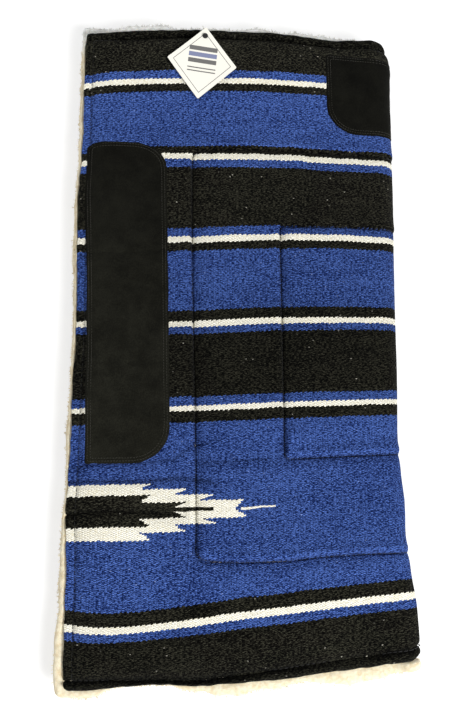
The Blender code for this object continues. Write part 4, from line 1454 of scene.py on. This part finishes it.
class PAD_OT_leather_thread(bpy.types.Operator):
    """Adds the double rows of stitching round the leathers."""

    bl_idname = "pad.leather_thread"
    bl_label = "Leather Thread"

    def execute(self, context):
        quilt, leather = context.scene.pad_quilt, context.scene.pad_leather
        material = thread_material("leather_thread", leather.thread_colour)

        def top(u, v):
            dip = LEATHER_SEAM_DEPTH * (1 + (u > SPAN / 2))
            return cover_top(u, v, quilt) + proud_at(u, leather) - dip

        def rows_round(box, *corners):
            """Both rows of stitching: each radius larger than a stitch shrinks with the row's inset."""
            start, stop, front, rear = box
            runs = []
            for inset in LEATHER_ROWS:
                radii = [corner if corner < LEATHER_ROWS[1] else corner - inset for corner in corners]
                runs.append(corner_path((start + inset, stop - inset, front + inset, rear - inset), radii))
            return np.concatenate([run_of_stitches(run, leather.stitch_pitch, 0.72) for run in runs])

        near = rows_round(SIDE_BOX, 0.003, SMALL_ROUND, SIDE_FRONT_ROUND, SIDE_ROUND)
        off = near.copy()
        for end in (0, 2):
            inward, rearward = leather_askew(near[:, end], near[:, end + 1])
            near[:, end] += inward
            near[:, end + 1] += rearward
        off[:, [0, 2]] = SPAN - off[:, [0, 2]]
        for name, stitches in (("near", near), ("off", off)):
            mesh = stitches_mesh(f"{name}_side_rows", stitches, top, leather.thread / 2)
            piece = new_piece(f"{name}_side_leather_thread", mesh, material, 80)
            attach(piece, f"{name}_half")
        stitches = rows_round(WITHERS_BOX, SMALL_ROUND, WITHERS_ROUND, SMALL_ROUND, WITHERS_ROUND)
        for zone in ZONES:
            mesh = stitches_mesh(f"{zone.name}_withers_rows", in_zone(stitches, zone), top,
                                 leather.thread / 2)
            layer_piece(zone, "withers_leather_thread", mesh, material, sharp_angle=80)
        return {"FINISHED"}


def bare_card(context, tag, reach):
    """A square card with round corners and a hole near one of them, curled up away from the hole."""
    bpy.ops.object.select_all(action="DESELECT")
    bpy.ops.mesh.primitive_cube_add(size=1)
    card = context.object
    card.name = "bare_hang_tag"
    card.scale = (tag.side, tag.side, CARD_THICKNESS)
    bpy.ops.object.transform_apply(location=False, rotation=False, scale=True)
    bpy.ops.object.mode_set(mode="EDIT")
    bpy.ops.mesh.select_all(action="DESELECT")
    shape = bmesh.from_edit_mesh(card.data)
    for edge in shape.edges:
        if abs(edge.verts[0].co.z - edge.verts[1].co.z) > CARD_THICKNESS / 2:
            edge.select_set(True)
    bmesh.update_edit_mesh(card.data)
    bpy.ops.mesh.bevel(offset=CARD_ROUND, segments=3, affect="EDGES")
    bpy.ops.object.mode_set(mode="OBJECT")
    cutting = card.modifiers.new("Hole", "BOOLEAN")
    bpy.ops.object.select_all(action="DESELECT")
    bpy.ops.mesh.primitive_cylinder_add(vertices=24, radius=TAG_HOLE_RADIUS, depth=0.01,
                                        location=(reach, reach, 0))
    punch = context.object
    cutting.object = punch
    cutting.solver = "EXACT"
    context.view_layer.objects.active = card
    bpy.ops.object.modifier_apply(modifier="Hole")
    bpy.data.objects.remove(punch, do_unlink=True)
    shape = bmesh.new()
    shape.from_mesh(card.data)
    for axis in (Vector((1, 0, 0)), Vector((0, 1, 0))):
        for step in range(1 - CARD_STRIPS // 2, CARD_STRIPS // 2):
            cut_at = axis * (step * tag.side / CARD_STRIPS)
            bmesh.ops.bisect_plane(shape, geom=shape.verts[:] + shape.edges[:] + shape.faces[:],
                                   plane_co=cut_at, plane_no=axis, dist=1e-7)
    bmesh.ops.triangulate(shape, faces=[f for f in shape.faces if len(f.verts) > 4])
    layer = shape.loops.layers.uv.new("card")
    for face in shape.faces:
        for loop in face.loops:
            loop[layer].uv = (loop.vert.co.x, loop.vert.co.y)
    for vert in shape.verts:
        u, v = vert.co.x, vert.co.y
        from_hole = math.hypot(reach - u, reach - v) / (tag.side * 1.3)
        vert.co.z += tag.curl * from_hole**2 + tag.curl * 0.8 * ((u - v) / tag.side) ** 2 * from_hole
    shape.to_mesh(card.data)
    shape.free()
    return card


class PAD_OT_hang_tag(bpy.types.Operator):
    """Adds the bare card tag and finishes its stud."""

    bl_idname = "pad.hang_tag"
    bl_label = "Hang Tag"

    def execute(self, context):
        tag = context.scene.pad_tag
        low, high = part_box("tag_fastener")
        pivot = (low + high) / 2
        card_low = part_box("hang_tag")[0]
        half_angle = math.radians(TAG_ANGLE / 2)
        half_side = tag.side / math.sqrt(2)
        half_width, half_height = tag.side * math.sin(half_angle), tag.side * math.cos(half_angle)
        card = bare_card(context, tag, (tag.side - TAG_HOLE_INSET / math.cos(half_angle)) / 2)
        diamond = Matrix.Diagonal((half_width / half_side, half_height / half_side, 1, 1))
        centre_reach = half_height - TAG_HOLE_INSET
        turn = Matrix.Rotation(math.radians(45), 4, "Z")
        swing = Matrix.Rotation(math.radians(TAG_TURN), 4, "Z")
        hang = Matrix.Translation((0, -centre_reach, 0))
        rest = Matrix.Translation((pivot.x, pivot.y, card_low.z + CARD_THICKNESS / 2))
        card.data.transform(rest @ swing @ hang @ diamond @ turn)
        card.data.shade_smooth()
        card.data.set_sharp_from_angle(angle=math.radians(30))
        card.data.materials.append(card_material(tag))
        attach(card, "tag")
        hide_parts("hang_tag")
        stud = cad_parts["tag_fastener"]
        stud.data.materials.clear()
        stud.data.materials.append(plastic_material())
        return {"FINISHED"}


# The floor lies just under the pad. The camera stands where the photo was taken from
FLOOR_SIZE = 9
FLOOR_DROP = 0.0004
KEY_LAMP = (1.1, (1.25, -1.45, 1.7))
FILL_LAMP = (2.4, (-1.9, 0.7, 1.6))
CAMERA_PLACE = (-0.12987, -0.27916, 1.0212)
CAMERA_RIGHT = (0.99339, -0.00431, 0.11467)
CAMERA_UP = (-0.02274, 0.97208, 0.23354)
CAMERA_BEHIND = (-0.11248, -0.23461, 0.96556)


class PAD_OT_stage(bpy.types.Operator):
    """Adds the floor, the soft lamps and the camera."""

    bl_idname = "pad.stage"
    bl_label = "Stage"

    def execute(self, context):
        stage = context.scene.pad_stage
        bpy.ops.object.select_all(action="DESELECT")
        bpy.ops.mesh.primitive_plane_add(size=FLOOR_SIZE, location=(0, 0, 0))
        floor = context.object
        floor.name = "studio_floor"
        floor.data.transform(Matrix.Translation((0, 0, -FLOOR_DROP)))
        floor.data.materials.append(floor_material(stage))
        for name, power, (size, place) in (
            ("key_lamp", stage.key_power, KEY_LAMP), ("fill_lamp", stage.fill_power, FILL_LAMP),
        ):
            lamp = bpy.data.lights.new(name, "AREA")
            lamp.energy = power
            lamp.size = size
            holder = bpy.data.objects.new(name, lamp)
            context.scene.collection.objects.link(holder)
            holder.location = place
            holder.rotation_euler = (-Vector(place)).to_track_quat("-Z", "Y").to_euler()
        world = bpy.data.worlds.new("soft_sky")
        world.use_nodes = True
        world.node_tree.nodes["Background"].inputs[0].default_value = (1.0, 1.0, 1.0, 1)
        world.node_tree.nodes["Background"].inputs[1].default_value = stage.sky
        context.scene.world = world
        eye = bpy.data.cameras.new("camera")
        eye.lens = stage.lens
        eye.sensor_width = 36
        eye.clip_start = 0.05
        camera = bpy.data.objects.new("camera", eye)
        context.scene.collection.objects.link(camera)
        look = Matrix((CAMERA_RIGHT, CAMERA_UP, CAMERA_BEHIND)).transposed().to_4x4()
        camera.matrix_world = Matrix.Translation(CAMERA_PLACE) @ look
        context.scene.camera = camera
        context.scene.view_settings.view_transform = "Standard"
        context.scene.view_settings.look = "None"
        return {"FINISHED"}


STEPS = ("stage", "relax_cover", "woven_cover", "felt_core", "fleece_lining", "fleece_locks",
         "side_leathers", "withers_leather", "quilting_thread", "leather_thread", "hang_tag")


class PAD_PT_panel(bpy.types.Panel):
    """Lists the pieces of the saddle pad."""

    bl_idname = "PAD_PT_panel"
    bl_label = "Saddle Pad"
    bl_space_type = "VIEW_3D"
    bl_region_type = "UI"
    bl_category = "Saddle Pad"

    def draw(self, context):
        for step in STEPS:
            self.layout.operator(f"pad.{step}")


GROUPS = (("pad_quilt", QuiltSettings), ("pad_cloth", ClothSettings), ("pad_lining", LiningSettings),
          ("pad_leather", LeatherSettings), ("pad_tag", TagSettings), ("pad_stage", StageSettings))
CLASSES = (
    *(group for _, group in GROUPS), PAD_OT_stage, PAD_OT_relax_cover, PAD_OT_woven_cover, PAD_OT_felt_core,
    PAD_OT_fleece_lining, PAD_OT_fleece_locks, PAD_OT_side_leathers, PAD_OT_withers_leather,
    PAD_OT_quilting_thread, PAD_OT_leather_thread, PAD_OT_hang_tag, PAD_PT_panel,
)


def register():
    for kind in CLASSES:
        bpy.utils.register_class(kind)
    for name, group in GROUPS:
        setattr(bpy.types.Scene, name, bpy.props.PointerProperty(type=group))


def unregister():
    for name, _ in GROUPS:
        delattr(bpy.types.Scene, name)
    for kind in reversed(CLASSES):
        bpy.utils.unregister_class(kind)


def main():
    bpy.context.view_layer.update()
    register()
    for step in STEPS:
        getattr(bpy.ops.pad, step)()


if __name__ == "__main__":
    main()
